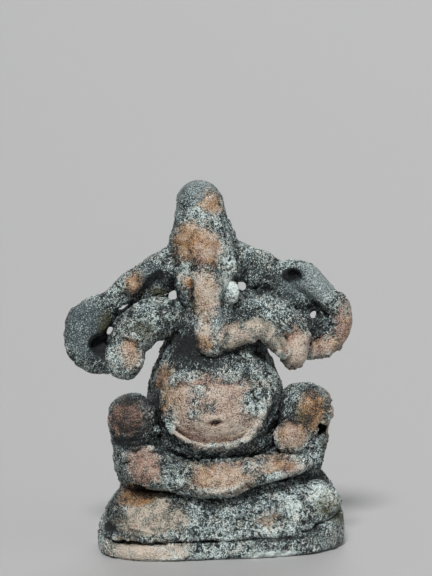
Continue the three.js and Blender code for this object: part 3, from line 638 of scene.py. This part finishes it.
class StatuetteCrust(bpy.types.PropertyGroup):
    """Sizes of the corrosion on the figure's skin."""

    thickness: length("Crust", "Thickness of the crust over the metal", 0.13)
    flake: length("Flake", "Thickness of one flake of the crust", 0.1)
    wave: length("Wave", "Height of the slow waves of the hand-worked wax", 0.36)
    pit_depth: length("Pit Depth", "Depth of the corrosion pits", 0.3)
    pit_size: length("Pit Size", "Spacing of the corrosion pits", 0.9)
    nodule: length("Nodule", "Height of the warts on the crust", 0.13)
    grain: length("Grain", "Height of the finest grain that is modelled", 0.06)
    seed: IntProperty(name="Seed", description="Which crust is drawn", default=7)


class StatuetteColours(bpy.types.PropertyGroup):
    """Colours of the bronze and its corrosion."""

    # Black is the dark patina, and also the painted shadow in pits, slots and gaps
    black: colour("Black", "Soot-dark patina in the hollows", (0.006, 0.008, 0.009))
    slate: colour("Slate", "Dark blue-green patina", (0.050, 0.072, 0.078))
    verdigris: colour("Verdigris", "Grey-green crust over most of the figure", (0.16, 0.205, 0.195))
    # Frost and white are pale crust, and also painted highlights on ledges and painted glints on the grains
    frost: colour("Frost", "Pale specks and ledges", (0.50, 0.60, 0.58))
    white: colour("White", "Brightest specks", (0.78, 0.86, 0.83))
    blue: colour("Blue", "Bluer grey crust", (0.12, 0.165, 0.18))
    sand: colour("Sand", "Earthier, paler crust", (0.24, 0.235, 0.17))
    pink: colour("Pink", "Freshly bared copper", (0.44, 0.265, 0.205))
    orange: colour("Orange", "Rusty, orange copper", (0.46, 0.27, 0.125))
    rust: colour("Rust", "Brightest orange spots", (0.44, 0.20, 0.06))
    olive: colour("Olive", "Dull metal under a thin deposit", (0.26, 0.25, 0.195))
    brown: colour("Brown", "Dulled copper", (0.085, 0.052, 0.038))
    # Cream is pale worn copper, and also the painted highlight on copper
    cream: colour("Cream", "Palest copper", (0.64, 0.53, 0.43))
    grey: colour("Grey", "Smooth grey casting skin", (0.20, 0.235, 0.25))
    earth: colour("Earth", "Olive, earthy deposit", (0.15, 0.135, 0.05))


class StatuetteStage(bpy.types.PropertyGroup):
    """The floor, the camera and the light."""

    floor: colour("Floor", "Colour of the floor", (0.44, 0.44, 0.435))
    distance: length("Distance", "Camera to figure", 380)
    azimuth: FloatProperty(
        name="Azimuth", description="Camera's turn round the figure", default=np.radians(-8),
        subtype="ANGLE",
    )
    elevation: FloatProperty(
        name="Elevation", description="Camera's height as an angle", default=np.radians(7),
        subtype="ANGLE",
    )
    lens: FloatProperty(
        name="Lens", description="Focal length in millimetres", default=195.2, unit="CAMERA",
    )


def turned(x, y, z, lump):
    """Coordinates in a lump's own leaning frame."""
    lean = np.radians(lump.lean)
    dx = x - lump.at[0]
    dz = z - lump.at[2]
    return np.cos(lean) * dx - np.sin(lean) * dz, y - lump.at[1], np.sin(lean) * dx + np.cos(lean) * dz


def lump_distance(x, y, z, lump):
    """Distance to a leaning ball with three half sizes, close enough near its surface."""
    parts = turned(x, y, z, lump)
    share = np.sqrt(sum((p / r) ** 2 for p, r in zip(parts, lump.half)))
    slope = np.sqrt(sum((p / r**2) ** 2 for p, r in zip(parts, lump.half)))
    return share * (share - 1.0) / np.maximum(slope, LEAST_SLOPE)


def smooth_path(path):
    """More stations, on a smooth curve through the given ones."""
    given = np.asarray(path, float)
    if len(given) < 3:
        return given
    ends = np.vstack([2 * given[0] - given[1], given, 2 * given[-1] - given[-2]])
    t = np.linspace(0.0, 1.0, CURVE_STEPS, endpoint=False)[:, None]
    stations = []
    for a, b, c, d in zip(ends, ends[1:], ends[2:], ends[3:]):
        curve = 2 * b + (c - a) * t + (2 * a - 5 * b + 4 * c - d) * t**2 + (3 * b - a - 3 * c + d) * t**3
        stations.append(0.5 * curve)
    return np.vstack([*stations, given[-1:]])


def rod_distance(x, y, z, start, end):
    """Distance to a round-ended taper between two stations."""
    line = end[:3] - start[:3]
    length_squared = max(float(line @ line), LEAST_LENGTH)
    px, py, pz = x - start[0], y - start[1], z - start[2]
    t = np.clip((px * line[0] + py * line[1] + pz * line[2]) / length_squared, 0.0, 1.0)
    away = np.sqrt((px - t * line[0]) ** 2 + (py - t * line[1]) ** 2 + (pz - t * line[2]) ** 2)
    return away - (start[3] + (end[3] - start[3]) * t)


class Clay:
    """A volume of distances, in millimetres, into which shapes are blended and cut."""

    def __init__(self, cell):
        self.cell = cell
        self.low = np.array(CLAY_LOW)
        counts = np.ceil((np.array(CLAY_HIGH) - self.low) / cell).astype(int) + 1
        self.axes = [self.low[i] + cell * np.arange(counts[i], dtype=np.float32) for i in range(3)]
        self.field = np.full(counts, FAR, np.float32)

    def window(self, low, high):
        """The part of the volume between two corners: its slices and its coordinates."""
        slices = []
        for i in range(3):
            first = int(np.floor((low[i] - self.low[i]) / self.cell))
            last = int(np.ceil((high[i] - self.low[i]) / self.cell)) + 1
            slices.append(slice(max(first, 0), min(max(last, 0), len(self.axes[i]))))
        x, y, z = (axis[s].astype(np.float32) for axis, s in zip(self.axes, slices))
        return tuple(slices), x[:, None, None], y[None, :, None], z[None, None, :]

    def blend(self, slices, distance, softness, cutting):
        """Joins a shape to the clay, or cuts it away, with a soft edge."""
        here = -self.field[slices] if cutting else self.field[slices]
        overlap = np.maximum(softness - np.abs(here - distance), 0.0) / softness
        joined = np.minimum(here, distance) - overlap**2 * (softness * 0.25)
        self.field[slices] = -joined if cutting else joined

    def lump(self, lump, cutting=False):
        """Adds or cuts one ball."""
        lean = np.radians(lump.lean)
        reach_x = np.hypot(lump.half[0] * np.cos(lean), lump.half[2] * np.sin(lean))
        reach_z = np.hypot(lump.half[0] * np.sin(lean), lump.half[2] * np.cos(lean))
        reach = np.array([reach_x, lump.half[1], reach_z]) + SHAPE_MARGIN + lump.blend
        slices, x, y, z = self.window(lump.at - reach, lump.at + reach)
        self.blend(slices, lump_distance(x, y, z, lump), lump.blend, cutting)

    def limb(self, limb, cutting=False):
        """Adds or cuts one rod along its curve."""
        path = smooth_path(limb.path)
        margin = path[:, 3].max() + SHAPE_MARGIN + limb.blend
        slices, x, y, z = self.window(path[:, :3].min(0) - margin, path[:, :3].max(0) + margin)
        distance = np.full((x.size, y.size, z.size), FAR, np.float32)
        for start, end in zip(path, path[1:]):
            # a flattened rod is a round one seen in a space stretched front to back
            middle = 0.5 * (start[1] + end[1])
            round_start, round_end = start.copy(), end.copy()
            round_start[1] = middle + (start[1] - middle) / limb.depth
            round_end[1] = middle + (end[1] - middle) / limb.depth
            stretch = rod_distance(x, middle + (y - middle) / limb.depth, z, round_start, round_end)
            distance = np.minimum(distance, stretch * (0.5 + 0.5 * limb.depth))
        self.blend(slices, distance, limb.blend, cutting)

    def add(self, parts, cutting=False):
        """Adds or cuts a list of lumps and limbs."""
        for part in parts:
            if isinstance(part, Lump):
                self.lump(part, cutting)
            else:
                self.limb(part, cutting)

    def pedestal(self):
        """Adds the pedestal: a rounded rectangle whose inset follows its profile."""
        top = PEDESTAL_TOP * (1.0 + RISE_PER_MM * PEDESTAL_HALF_WIDTH) + SHAPE_MARGIN
        reach = np.array([PEDESTAL_HALF_WIDTH, PEDESTAL_HALF_DEPTH]) + SHAPE_MARGIN
        slices, x, y, z = self.window((-reach[0], -reach[1], -SHAPE_MARGIN), (reach[0], reach[1], top))
        level = z / (1.0 + RISE_PER_MM * x)
        groove = GROOVE_Z + GROOVE_CLIMB * np.maximum(x, 0.0) ** 2
        above = GROOVE_Z + (level - groove) * (PEDESTAL_TOP - GROOVE_Z) / (PEDESTAL_TOP - groove)
        even = np.where(level < groove, level * GROOVE_Z / groove, above)
        inset = np.interp(even, PEDESTAL_HEIGHTS, PEDESTAL_INSETS)
        worn = y - FRONT_WEAR * np.maximum(x, 0.0) ** 2 * (y < 0)
        across = np.abs(x - PEDESTAL_SHIFT) - (PEDESTAL_HALF_WIDTH - inset - PEDESTAL_CORNER)
        along = np.abs(worn) - (PEDESTAL_HALF_DEPTH - inset - PEDESTAL_CORNER)
        corner = np.hypot(np.maximum(across, 0.0), np.maximum(along, 0.0))
        plan = corner + np.minimum(np.maximum(across, along), 0.0) - PEDESTAL_CORNER
        solid = np.maximum(np.maximum(plan, level - PEDESTAL_TOP), -z)
        self.field[slices] = np.minimum(self.field[slices], solid.astype(np.float32))

    def skin(self):
        """The surface as points in millimetres and faces that look outwards."""
        grid = openvdb.FloatGrid()
        grid.copyFromArray(np.ascontiguousarray(self.field))
        points, triangles, quads = grid.convertToPolygons(0.0, 0.0)
        return np.asarray(points) * self.cell + self.low, [*triangles.tolist(), *quads.tolist()]

    def sampled(self, field, points):
        """Values of a field of this volume at points, by straight lines between cells."""
        place = (points - self.low) / self.cell
        first = np.clip(np.floor(place).astype(int), 0, np.array(field.shape) - 2)
        share = place - first
        total = np.zeros(len(points))
        for corner in np.ndindex(2, 2, 2):
            weight = np.prod(np.where(corner, share, 1.0 - share), axis=1)
            total += weight * field[tuple((first + corner).T)]
        return total

    def averaged(self, reach):
        """The field averaged over a cube of that reach, which shows where the surface is hollow."""
        steps = max(int(round(reach / self.cell)), 1)
        field = np.clip(self.field, -2 * reach, 2 * reach)
        for axis in range(3):
            borders = [(steps + 1, steps) if i == axis else (0, 0) for i in range(3)]
            padded = np.pad(field, borders, mode="edge")
            running = np.cumsum(padded, axis=axis, dtype=np.float64)
            count = 2 * steps + 1
            size = running.shape[axis]
            upper = np.take(running, range(count, size), axis=axis)
            lower = np.take(running, range(0, size - count), axis=axis)
            field = ((upper - lower) / count).astype(np.float32)
        return field


def nearness(points, patches):
    """For each point, how many millimetres it lies inside the nearest patch, and that patch's tone."""
    best = np.full(len(points), -FAR)
    tone = np.zeros(len(points))
    for patch in patches:
        share = np.sqrt((((points - patch.at) / patch.half) ** 2).sum(1))
        inside = (1.0 - share) * min(patch.half)
        closer = inside > best
        best[closer] = inside[closer]
        tone[closer] = patch.tone
    return best, tone


def shading(points):
    """For each point, how much lighter or darker the patches around it make the crust, as patina and as
    painted light and shade.
    """
    total = np.zeros(len(points))
    for patch in SHADE:
        share = np.sqrt((((points - patch.at) / patch.half) ** 2).sum(1))
        fall = np.clip((PATCH_EDGE - share) / (2 * (PATCH_EDGE - 1.0)), 0.0, 1.0)
        total += patch.tone * fall * fall * (3.0 - 2.0 * fall)
    return total


def closeness(points, parts, reach):
    """For each point, from 0 to 1, how close it lies to the surface of the nearest of some rods."""
    nearest = np.full(len(points), FAR)
    for part in parts:
        if isinstance(part, Lump):
            continue
        path = smooth_path(part.path)
        margin = path[:, 3].max() + reach
        low = path[:, :3].min(0) - margin
        high = path[:, :3].max(0) + margin
        inside = np.nonzero(((points > low) & (points < high)).all(1))[0]
        x, y, z = points[inside].T
        for start, end in zip(path, path[1:]):
            distance = np.abs(rod_distance(x, y, z, start, end))
            nearest[inside] = np.minimum(nearest[inside], distance)
    return np.clip(1.0 - nearest / reach, 0.0, 1.0)


def add(tree, kind, inputs=None, **settings):
    """A node with its settings, and its inputs set to values or joined to sockets."""
    node = tree.nodes.new(kind)
    for name, value in settings.items():
        setattr(node, name, value)
    for key, value in (inputs or {}).items():
        if isinstance(value, bpy.types.NodeSocket):
            tree.links.new(value, node.inputs[key])
        else:
            node.inputs[key].default_value = value
    return node


class Nodes:
    """A node tree, with short ways to add arithmetic and noise to it."""

    def __init__(self, tree, place, clouds, millimetre, seed=0.0):
        self.tree = tree
        self.place = place
        self.clouds = clouds
        self.millimetre = millimetre
        self.seed = seed

    def maths(self, operation, *values):
        """Values joined one after another by one kind of arithmetic."""
        result = values[0]
        for value in values[1:]:
            result = add(self.tree, "ShaderNodeMath", {0: result, 1: value}, operation=operation).outputs[0]
        return result

    def plus(self, *values):
        """The sum of the values."""
        return self.maths("ADD", *values)

    def times(self, *values):
        """The product of the values."""
        return self.maths("MULTIPLY", *values)

    def most(self, *values):
        """The largest of the values."""
        return self.maths("MAXIMUM", *values)

    def rise(self, value, span, reach=(0.0, 1.0)):
        """A soft step from the first to the second value of reach, as value crosses the span."""
        inputs = {
            "Value": value, "From Min": span[0], "From Max": span[1],
            "To Min": reach[0], "To Max": reach[1],
        }
        node = add(self.tree, "ShaderNodeMapRange", inputs, interpolation_type="SMOOTHSTEP")
        return node.outputs["Result"]

    def both(self, value, spans):
        """The product of two soft steps, which is a band or a bump."""
        return self.times(*(self.rise(value, span) for span in spans))

    def noise(self, size, detail, shift, roughness=0.5):
        """Cloudy noise with features about that size, from 0 to 1."""
        inputs = {
            "Vector": self.place, "Scale": self.maths("DIVIDE", 1.0, size), "Detail": detail,
            "W": self.plus(self.seed, shift), "Roughness": roughness,
        }
        return add(self.tree, "ShaderNodeTexNoise", inputs, noise_dimensions="4D").outputs[0]

    def cloud(self, name):
        """One of the named clouds, from 0 to 1."""
        size, detail, shift, roughness = self.clouds[name]
        return self.noise(self.times(self.millimetre, size), detail, shift, roughness)

    def centred(self, name):
        """One of the named clouds, about 0."""
        return self.plus(self.cloud(name), -0.5)


def read(tree, name):
    """A value stored on the points of the mesh."""
    node = add(tree, "GeometryNodeInputNamedAttribute", {"Name": name}, data_type="FLOAT")
    return node.outputs["Attribute"]


def store(tree, geometry, name, value):
    """Stores a value on the points of the mesh."""
    inputs = {"Geometry": geometry, "Name": name, "Value": value}
    node = add(tree, "GeometryNodeStoreNamedAttribute", inputs, data_type="FLOAT", domain="POINT")
    return node.outputs["Geometry"]


def without_crumbs(tree, geometry):
    """The figure without its loose crumbs of clay."""
    island = add(tree, "GeometryNodeInputMeshIsland").outputs["Island Index"]
    points = add(tree, "GeometryNodeAccumulateField", {"Value": 1.0, "Group ID": island}).outputs["Total"]
    crumb = add(tree, "ShaderNodeMath", {0: points, 1: CRUMB_POINTS}, operation="LESS_THAN").outputs[0]
    kept = add(tree, "GeometryNodeDeleteGeometry", {"Geometry": geometry, "Selection": crumb})
    return kept.outputs["Geometry"]


def bare_edge(nodes, depth):
    """Millimetres inside ragged patches of bare metal, which lie here and there behind as well."""
    behind = nodes.rise(depth, BACK_SPAN)
    worn = nodes.times(nodes.plus(nodes.cloud("wear"), -WEAR_LEVEL), WEAR_STEEPNESS)
    worn = nodes.plus(worn, nodes.rise(behind, (0.0, 1.0), (FRONT_GUARD, 0.0)))
    bare = nodes.most(read(nodes.tree, "bare"), worn)
    return nodes.plus(bare, nodes.times(nodes.centred("edge"), EDGE_RAGGED))


def flakes(nodes):
    """The crust's flakes, one over the other: their steps, bright ledges, partly painted highlight, and
    cracks, partly painted shadow.
    """
    layers = nodes.cloud("flakes")
    steps = ledge = crack = 0.0
    for level in FLAKE_LEVELS:
        above = nodes.plus(layers, -level)
        steps = nodes.plus(steps, nodes.rise(above, STEP_SPAN))
        ledge = nodes.plus(ledge, nodes.both(above, LEDGE_SPANS))
        crack = nodes.plus(crack, nodes.both(above, CRACK_SPANS))
    return steps, ledge, crack


def wart_bumps(nodes):
    """Round warts, from 0 to 1, in zones."""
    scale = nodes.maths("DIVIDE", 1.0, nodes.times(nodes.millimetre, WART_SPACING))
    inputs = {"Vector": nodes.place, "Scale": scale, "W": nodes.seed, "Smoothness": WART_SOFTNESS}
    node = add(nodes.tree, "ShaderNodeTexVoronoi", inputs, voronoi_dimensions="4D", feature="SMOOTH_F1")
    bumps = nodes.rise(node.outputs["Distance"], WART_SPAN)
    return nodes.times(bumps, nodes.rise(nodes.cloud("wart zones"), WART_ZONE_SPAN))


def corrosion(nodes, given, along):
    """How high corrosion lifts the skin, and what it notes for the colours."""
    y, z = (nodes.maths("DIVIDE", along[axis], given["Millimetre"]) for axis in ("Y", "Z"))
    edge = bare_edge(nodes, y)
    bared = nodes.rise(edge, BARED_SPAN)
    smooth = nodes.most(nodes.times(bared, METAL_SMOOTH), nodes.rise(read(nodes.tree, "grey"), SKIN_SPAN))
    rough = nodes.plus(1.0, nodes.times(smooth, -SMOOTHING))
    steps, ledge, crack = flakes(nodes)
    notes = {
        "edge": edge,
        "lip": nodes.both(edge, LIP_SPANS),
        "pit": nodes.rise(nodes.noise(given["Pit Size"], PIT_DETAIL, PIT_SHIFT), PIT_SPAN),
        "wart": wart_bumps(nodes),
        "ledge": ledge,
        "crack": crack,
    }
    lip = nodes.times(notes["lip"], given["Crust"], LIP_HEIGHT)
    for name in ("lip", "pit", "wart", "ledge", "crack"):
        notes[name] = nodes.times(notes[name], rough)
    grainy = nodes.plus(nodes.times(rough, ROUGH_GRAIN), SMOOTH_GRAIN)
    height = nodes.plus(
        nodes.times(nodes.centred("wave"), given["Wave"]),
        nodes.times(given["Crust"], nodes.plus(1.0, nodes.times(bared, -1.0))),
        lip,
        nodes.times(steps, given["Flake"], rough),
        nodes.times(nodes.centred("grain"), given["Grain"], grainy),
        nodes.times(notes["wart"], given["Nodule"]),
        nodes.times(notes["pit"], given["Pit Depth"], -1.0),
        nodes.times(notes["crack"], given["Flake"], -1.0),
    )
    return nodes.times(height, nodes.rise(z, RIM_SPAN)), notes


def crust_tree(material):
    """The nodes that lay corrosion on the smooth figure and note where metal shows."""
    tree = bpy.data.node_groups.new("corroded crust", "GeometryNodeTree")
    tree.interface.new_socket("Geometry", in_out="INPUT", socket_type="NodeSocketGeometry")
    for name in ("Millimetre", *CRUST_INPUTS):
        tree.interface.new_socket(name, in_out="INPUT", socket_type="NodeSocketFloat")
    tree.interface.new_socket("Geometry", in_out="OUTPUT", socket_type="NodeSocketGeometry")
    given = add(tree, "NodeGroupInput").outputs
    place = add(tree, "GeometryNodeInputPosition").outputs[0]
    normal = add(tree, "GeometryNodeInputNormal").outputs[0]
    along = add(tree, "ShaderNodeSeparateXYZ", {"Vector": place}).outputs
    nodes = Nodes(tree, place, CRUST_CLOUDS, given["Millimetre"], given["Seed"])
    height, notes = corrosion(nodes, given, along)
    offset = add(tree, "ShaderNodeVectorMath", {0: normal, "Scale": height}, operation="SCALE").outputs[0]
    geometry = without_crumbs(tree, given["Geometry"])
    for name, value in notes.items():
        geometry = store(tree, geometry, name, value)
    moved = add(tree, "GeometryNodeSetPosition", {"Geometry": geometry, "Offset": offset}).outputs[0]
    real = add(tree, "GeometryNodeRealizeInstances", {"Geometry": moved}).outputs[0]
    coated = add(tree, "GeometryNodeSetMaterial", {"Geometry": real, "Material": material}).outputs[0]
    add(tree, "NodeGroupOutput", {"Geometry": coated})
    return tree


class Paint(Nodes):
    """The nodes of the bronze, with its colours and the amounts that mix them, both by name."""

    def __init__(self, tree, colours):
        place = add(tree, "ShaderNodeTexCoord").outputs["Object"]
        super().__init__(tree, place, COLOUR_CLOUDS, MM)
        self.colours = {name: getattr(colours, name) for name in colours.__annotations__}
        self.amounts = {name: self.centred(name) for name in SPECKLES}
        self.amounts |= {name: self.value(name) for name in NOTES}
        # Hollows darken the colours as dark patina and painted shade; ridges lighten them as painted
        # highlight
        hollow = self.value("hollow")
        self.amounts["hollow"] = self.most(hollow, 0.0)
        self.amounts["ridge"] = self.most(self.times(hollow, -1.0), 0.0)
        self.amounts["walls"] = self.walls()

    def value(self, name):
        """A value that the modelled figure has on its points."""
        node = add(self.tree, "ShaderNodeAttribute", attribute_name=name, attribute_type="GEOMETRY")
        return node.outputs["Fac"]

    def walls(self):
        """Thin walls between the cells of frothy crust, about 0."""
        inputs = {"Vector": self.place, "Scale": 1.0 / (FROTH_SIZE * MM)}
        froth = add(self.tree, "ShaderNodeTexVoronoi", inputs, feature="DISTANCE_TO_EDGE")
        walls = self.rise(froth.outputs["Distance"], WALL_SPAN, (-WALL_MEAN, 1.0 - WALL_MEAN))
        return self.times(walls, self.rise(self.amounts["broad"], FROTH_SPAN))

    def weighed(self, weights, total=0.0):
        """The sum of amounts, each times its weight."""
        parts = (self.times(self.amounts[name], weight) for name, weight in weights.items())
        return self.plus(total, *parts)

    def mixed(self, share, first, second):
        """Two colours mixed, with that share of the second."""
        node = add(self.tree, "ShaderNodeMix", data_type="RGBA", clamp_factor=True)
        for index, given in zip(MIX_INPUTS, (share, first, second)):
            if isinstance(given, bpy.types.NodeSocket):
                self.tree.links.new(given, node.inputs[index])
            else:
                node.inputs[index].default_value = given
        return node.outputs[MIX_RESULT]

    def layered(self, base, amount, layers):
        """A colour with layers laid over it."""
        for layer in layers:
            share = self.rise(amount, layer.span, (0.0, layer.share))
            base = self.mixed(share, base, self.colours[layer.colour])
        return base


def crust_colour(paint, grey_zone):
    """Soot-dark crust, slate, verdigris and frost by lightness, which also carries painted light and shade,
    with smooth casting skin and earth in their places.
    """
    colours = paint.colours
    colours["green"] = paint.layered(colours["blue"], paint.cloud("tint"), GREEN_LAYERS)
    colours["pale"] = paint.layered(colours["frost"], paint.cloud("pale"), PALE_LAYERS)
    crust = paint.layered(colours["black"], paint.weighed(CRUST_LIGHT, CRUST_START), CRUST_LAYERS)
    skin = paint.layered(colours["slate"], paint.weighed(SKIN_LIGHT), SKIN_LAYERS)
    crust = paint.mixed(paint.times(grey_zone, SKIN_SHARE), crust, skin)
    earthy = paint.rise(paint.value("earth"), EARTH_SPAN)
    speckle = paint.rise(paint.weighed(EARTH_MIX), EARTH_SPECKLE_SPAN)
    return paint.mixed(paint.times(earthy, speckle, EARTH_SHARE), crust, colours["earth"])


def metal_colour(paint):
    """Copper: olive, pink or orange by place, brown where dull, pale where worn, with dark flecks; the brown
    and black also paint shade in hollows and the pale paints highlight on ridges.
    """
    tone = paint.plus(paint.value("tone"), paint.times(paint.centred("tone"), TONE_CHANGE))
    metal = paint.layered(paint.colours["olive"], tone, TONE_LAYERS)
    return paint.layered(metal, paint.weighed(METAL_LIGHT), WEAR_AND_PAINTED_LIGHT_LAYERS)


def bronze(colours):
    """Corroded bronze: speckled crust, bared copper that dissolves into it in specks, grey casting skin."""
    material = bpy.data.materials.new("corroded bronze")
    material.use_nodes = True
    shader = material.node_tree.nodes["Principled BSDF"]
    paint = Paint(material.node_tree, colours)
    grey_zone = paint.rise(paint.value("grey"), GREY_SPAN)
    share = paint.rise(paint.weighed(EDGE_MIX), METAL_SPAN, (0.0, METAL_SHARE))
    base = paint.mixed(share, crust_colour(paint, grey_zone), metal_colour(paint))
    dull = paint.plus(
        CRUST_DULL,
        paint.times(share, -METAL_GLOSS),
        paint.times(grey_zone, -SKIN_GLOSS),
        paint.times(paint.amounts["small"], SPECKLE_DULL),
    )
    metallic = paint.most(paint.times(share, METAL_METALLIC), paint.times(grey_zone, SKIN_METALLIC))
    inputs = {"Height": paint.weighed(RELIEF_MIX), "Distance": BUMP_DEPTH * MM, "Strength": 1.0}
    bump = add(paint.tree, "ShaderNodeBump", inputs)
    finish = {
        # The deepest painted shade turns black, as painted shadow in pits, slots and gaps
        "Base Color": paint.layered(base, paint.amounts["shade"], PAINTED_SHADOW_LAYERS),
        "Roughness": dull,
        "Metallic": metallic,
        "Normal": bump.outputs["Normal"],
    }
    for name, socket in finish.items():
        paint.tree.links.new(socket, shader.inputs[name])
    return material


def smooth_figure(form):
    """The clay figure before corrosion, as a mesh that notes its patches and hollows on its points."""
    clay = Clay(form.cell / MM)
    clay.pedestal()
    clay.add(BODY + HEAD + WEBS + ARMS + FOLDS)
    clay.add([Lump("knob", at, (KNOB_RADIUS, KNOB_RADIUS, KNOB_RADIUS), KNOB_BLEND) for at in KNOBS])
    clay.add(CUTS, cutting=True)
    points, faces = clay.skin()
    mesh = bpy.data.meshes.new(NODE + "_bronze")
    mesh.from_pydata((points * MM).tolist(), [], faces)
    bare, tone = nearness(points, BARE)
    bare = np.minimum(bare, -nearness(points, CRUSTED)[0])
    # The shade note holds the patches' painted light and shade, a painted highlight along folds and painted
    # shade along cuts
    light = shading(points) + LEDGE_LIGHT * closeness(points, FOLDS, STROKE_REACH)
    light -= PAINTED_GROOVE_SHADE * closeness(points, CUTS, STROKE_REACH)
    notes = {"bare": np.minimum(bare, BARE_DEPTH), "tone": tone, "shade": light}
    for name, patches in (("grey", GREY), ("earth", EARTH)):
        notes[name] = nearness(points, patches)[0]
    # outside is positive, so a mean below the surface's own zero marks a hollow
    notes["hollow"] = -clay.sampled(clay.averaged(HOLLOW_REACH), points)
    notes["deep"] = -clay.sampled(clay.averaged(DEEP_REACH), points)
    for name, values in notes.items():
        mesh.attributes.new(name, "FLOAT", "POINT").data.foreach_set("value", values.astype(np.float32))
    mesh.polygons.foreach_set("use_smooth", np.ones(len(mesh.polygons), bool))
    return bpy.data.objects.new(NODE + "_bronze", mesh)


def set_input(modifier, name, value):
    """Sets a Geometry Nodes input by the identifier of its socket."""
    for item in modifier.node_group.interface.items_tree:
        if item.item_type == "SOCKET" and item.in_out == "INPUT" and item.name == name:
            modifier[item.identifier] = value
            return
    raise KeyError(name)


def make_plain(figure):
    """Replaces an object's mesh with the result of its modifiers, and removes them."""
    graph = bpy.context.evaluated_depsgraph_get()
    result = bpy.data.meshes.new_from_object(figure.evaluated_get(graph), depsgraph=graph)
    figure.modifiers.clear()
    old = figure.data
    figure.data = result
    bpy.data.meshes.remove(old)
    result.name = figure.name


class STATUETTE_OT_figure(bpy.types.Operator):
    """Model the figure, lay its corrosion on and colour it"""

    bl_idname = "statuette.figure"
    bl_label = "Cast the Figure"

    def execute(self, context):
        scene = context.scene
        material = bronze(scene.statuette_colours)
        figure = smooth_figure(scene.statuette_form)
        scene.collection.objects.link(figure)
        modifier = figure.modifiers.new("corroded crust", "NODES")
        modifier.node_group = crust_tree(material)
        set_input(modifier, "Millimetre", MM)
        for name, source in CRUST_INPUTS.items():
            set_input(modifier, name, float(getattr(scene.statuette_crust, source)))
        triangles = sum(len(face.vertices) - 2 for face in figure.data.polygons)
        thin = figure.modifiers.new("fewer triangles", "DECIMATE")
        thin.ratio = min(1.0, scene.statuette_form.triangles / triangles)
        make_plain(figure)
        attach(figure, "root")
        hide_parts(NODE)
        return {"FINISHED"}


class STATUETTE_OT_stage(bpy.types.Operator):
    """Lay the floor, hang the lights and set the camera"""

    bl_idname = "statuette.stage"
    bl_label = "Set the Stage"

    def execute(self, context):
        stage = context.scene.statuette_stage
        floor_under(stage)
        light_figure(context.scene)
        camera_for(context.scene, stage)
        return {"FINISHED"}


def floor_under(stage):
    """A plain pale floor with a slight sheen."""
    mesh = bpy.data.meshes.new("floor")
    half = FLOOR_HALF * MM
    corners = [(-half, -half, 0), (half, -half, 0), (half, half, 0), (-half, half, 0)]
    mesh.from_pydata(corners, [], [(0, 1, 2, 3)])
    material = bpy.data.materials.new("pale floor")
    material.use_nodes = True
    shader = material.node_tree.nodes["Principled BSDF"]
    shader.inputs["Base Color"].default_value = stage.floor
    shader.inputs["Roughness"].default_value = FLOOR_ROUGHNESS
    mesh.materials.append(material)
    floor = bpy.data.objects.new("floor", mesh)
    bpy.context.scene.collection.objects.link(floor)


def facing(place, aim):
    """The rotation that points a lamp or camera from a place to an aim."""
    return (Vector(aim) - Vector(place)).to_track_quat("-Z", "Y").to_euler()


def light_figure(scene):
    """Soft studio light from three wide lamps and a pale surround."""
    for lamp in LAMPS:
        light = bpy.data.lights.new(lamp.name, "SUN")
        light.energy = lamp.strength
        light.angle = np.radians(lamp.width)
        holder = bpy.data.objects.new(lamp.name, light)
        holder.location = Vector(lamp.at)
        holder.rotation_euler = facing(holder.location, Vector())
        scene.collection.objects.link(holder)
    world = bpy.data.worlds.new("studio")
    world.use_nodes = True
    background = world.node_tree.nodes["Background"]
    background.inputs["Color"].default_value = WORLD_COLOUR
    background.inputs["Strength"].default_value = WORLD_STRENGTH
    scene.world = world
    scene.view_settings.view_transform = "Standard"


def camera_for(scene, stage):
    """The photograph's viewing angle and framing."""
    turn = stage.azimuth
    lift = stage.elevation
    back = Vector((np.sin(turn) * np.cos(lift), -np.cos(turn) * np.cos(lift), np.sin(lift)))
    lens = bpy.data.cameras.new("camera")
    lens.lens = stage.lens
    lens.sensor_width = SENSOR
    lens.sensor_fit = "AUTO"
    lens.clip_start = CLIP_NEAR
    lens.clip_end = CLIP_FAR
    holder = bpy.data.objects.new("camera", lens)
    holder.location = Vector(AIM) * MM + back * stage.distance
    holder.rotation_euler = facing(holder.location, Vector(AIM) * MM)
    scene.collection.objects.link(holder)
    scene.camera = holder


class STATUETTE_PT_panel(bpy.types.Panel):
    """The statuette's sizes, colours and operators"""

    bl_idname = "STATUETTE_PT_panel"
    bl_label = "Statuette"
    bl_space_type = "VIEW_3D"
    bl_region_type = "UI"
    bl_category = "Statuette"

    def draw(self, context):
        for group_name in GROUPS:
            box = self.layout.box()
            group = getattr(context.scene, group_name)
            for name in group.__annotations__:
                box.prop(group, name)
        for operator in (STATUETTE_OT_figure, STATUETTE_OT_stage):
            self.layout.operator(operator.bl_idname)


# The groups of properties, by the names that the scene keeps them under
GROUPS = {
    "statuette_form": StatuetteForm,
    "statuette_crust": StatuetteCrust,
    "statuette_colours": StatuetteColours,
    "statuette_stage": StatuetteStage,
}
CLASSES = (*GROUPS.values(), STATUETTE_OT_figure, STATUETTE_OT_stage, STATUETTE_PT_panel)


def register():
    for item in CLASSES:
        bpy.utils.register_class(item)
    for name, group in GROUPS.items():
        setattr(bpy.types.Scene, name, PointerProperty(type=group))


def unregister():
    for name in GROUPS:
        delattr(bpy.types.Scene, name)
    for item in reversed(CLASSES):
        bpy.utils.unregister_class(item)


def main():
    register()
    bpy.ops.statuette.figure()
    bpy.ops.statuette.stage()


if __name__ == "__main__":
    main()
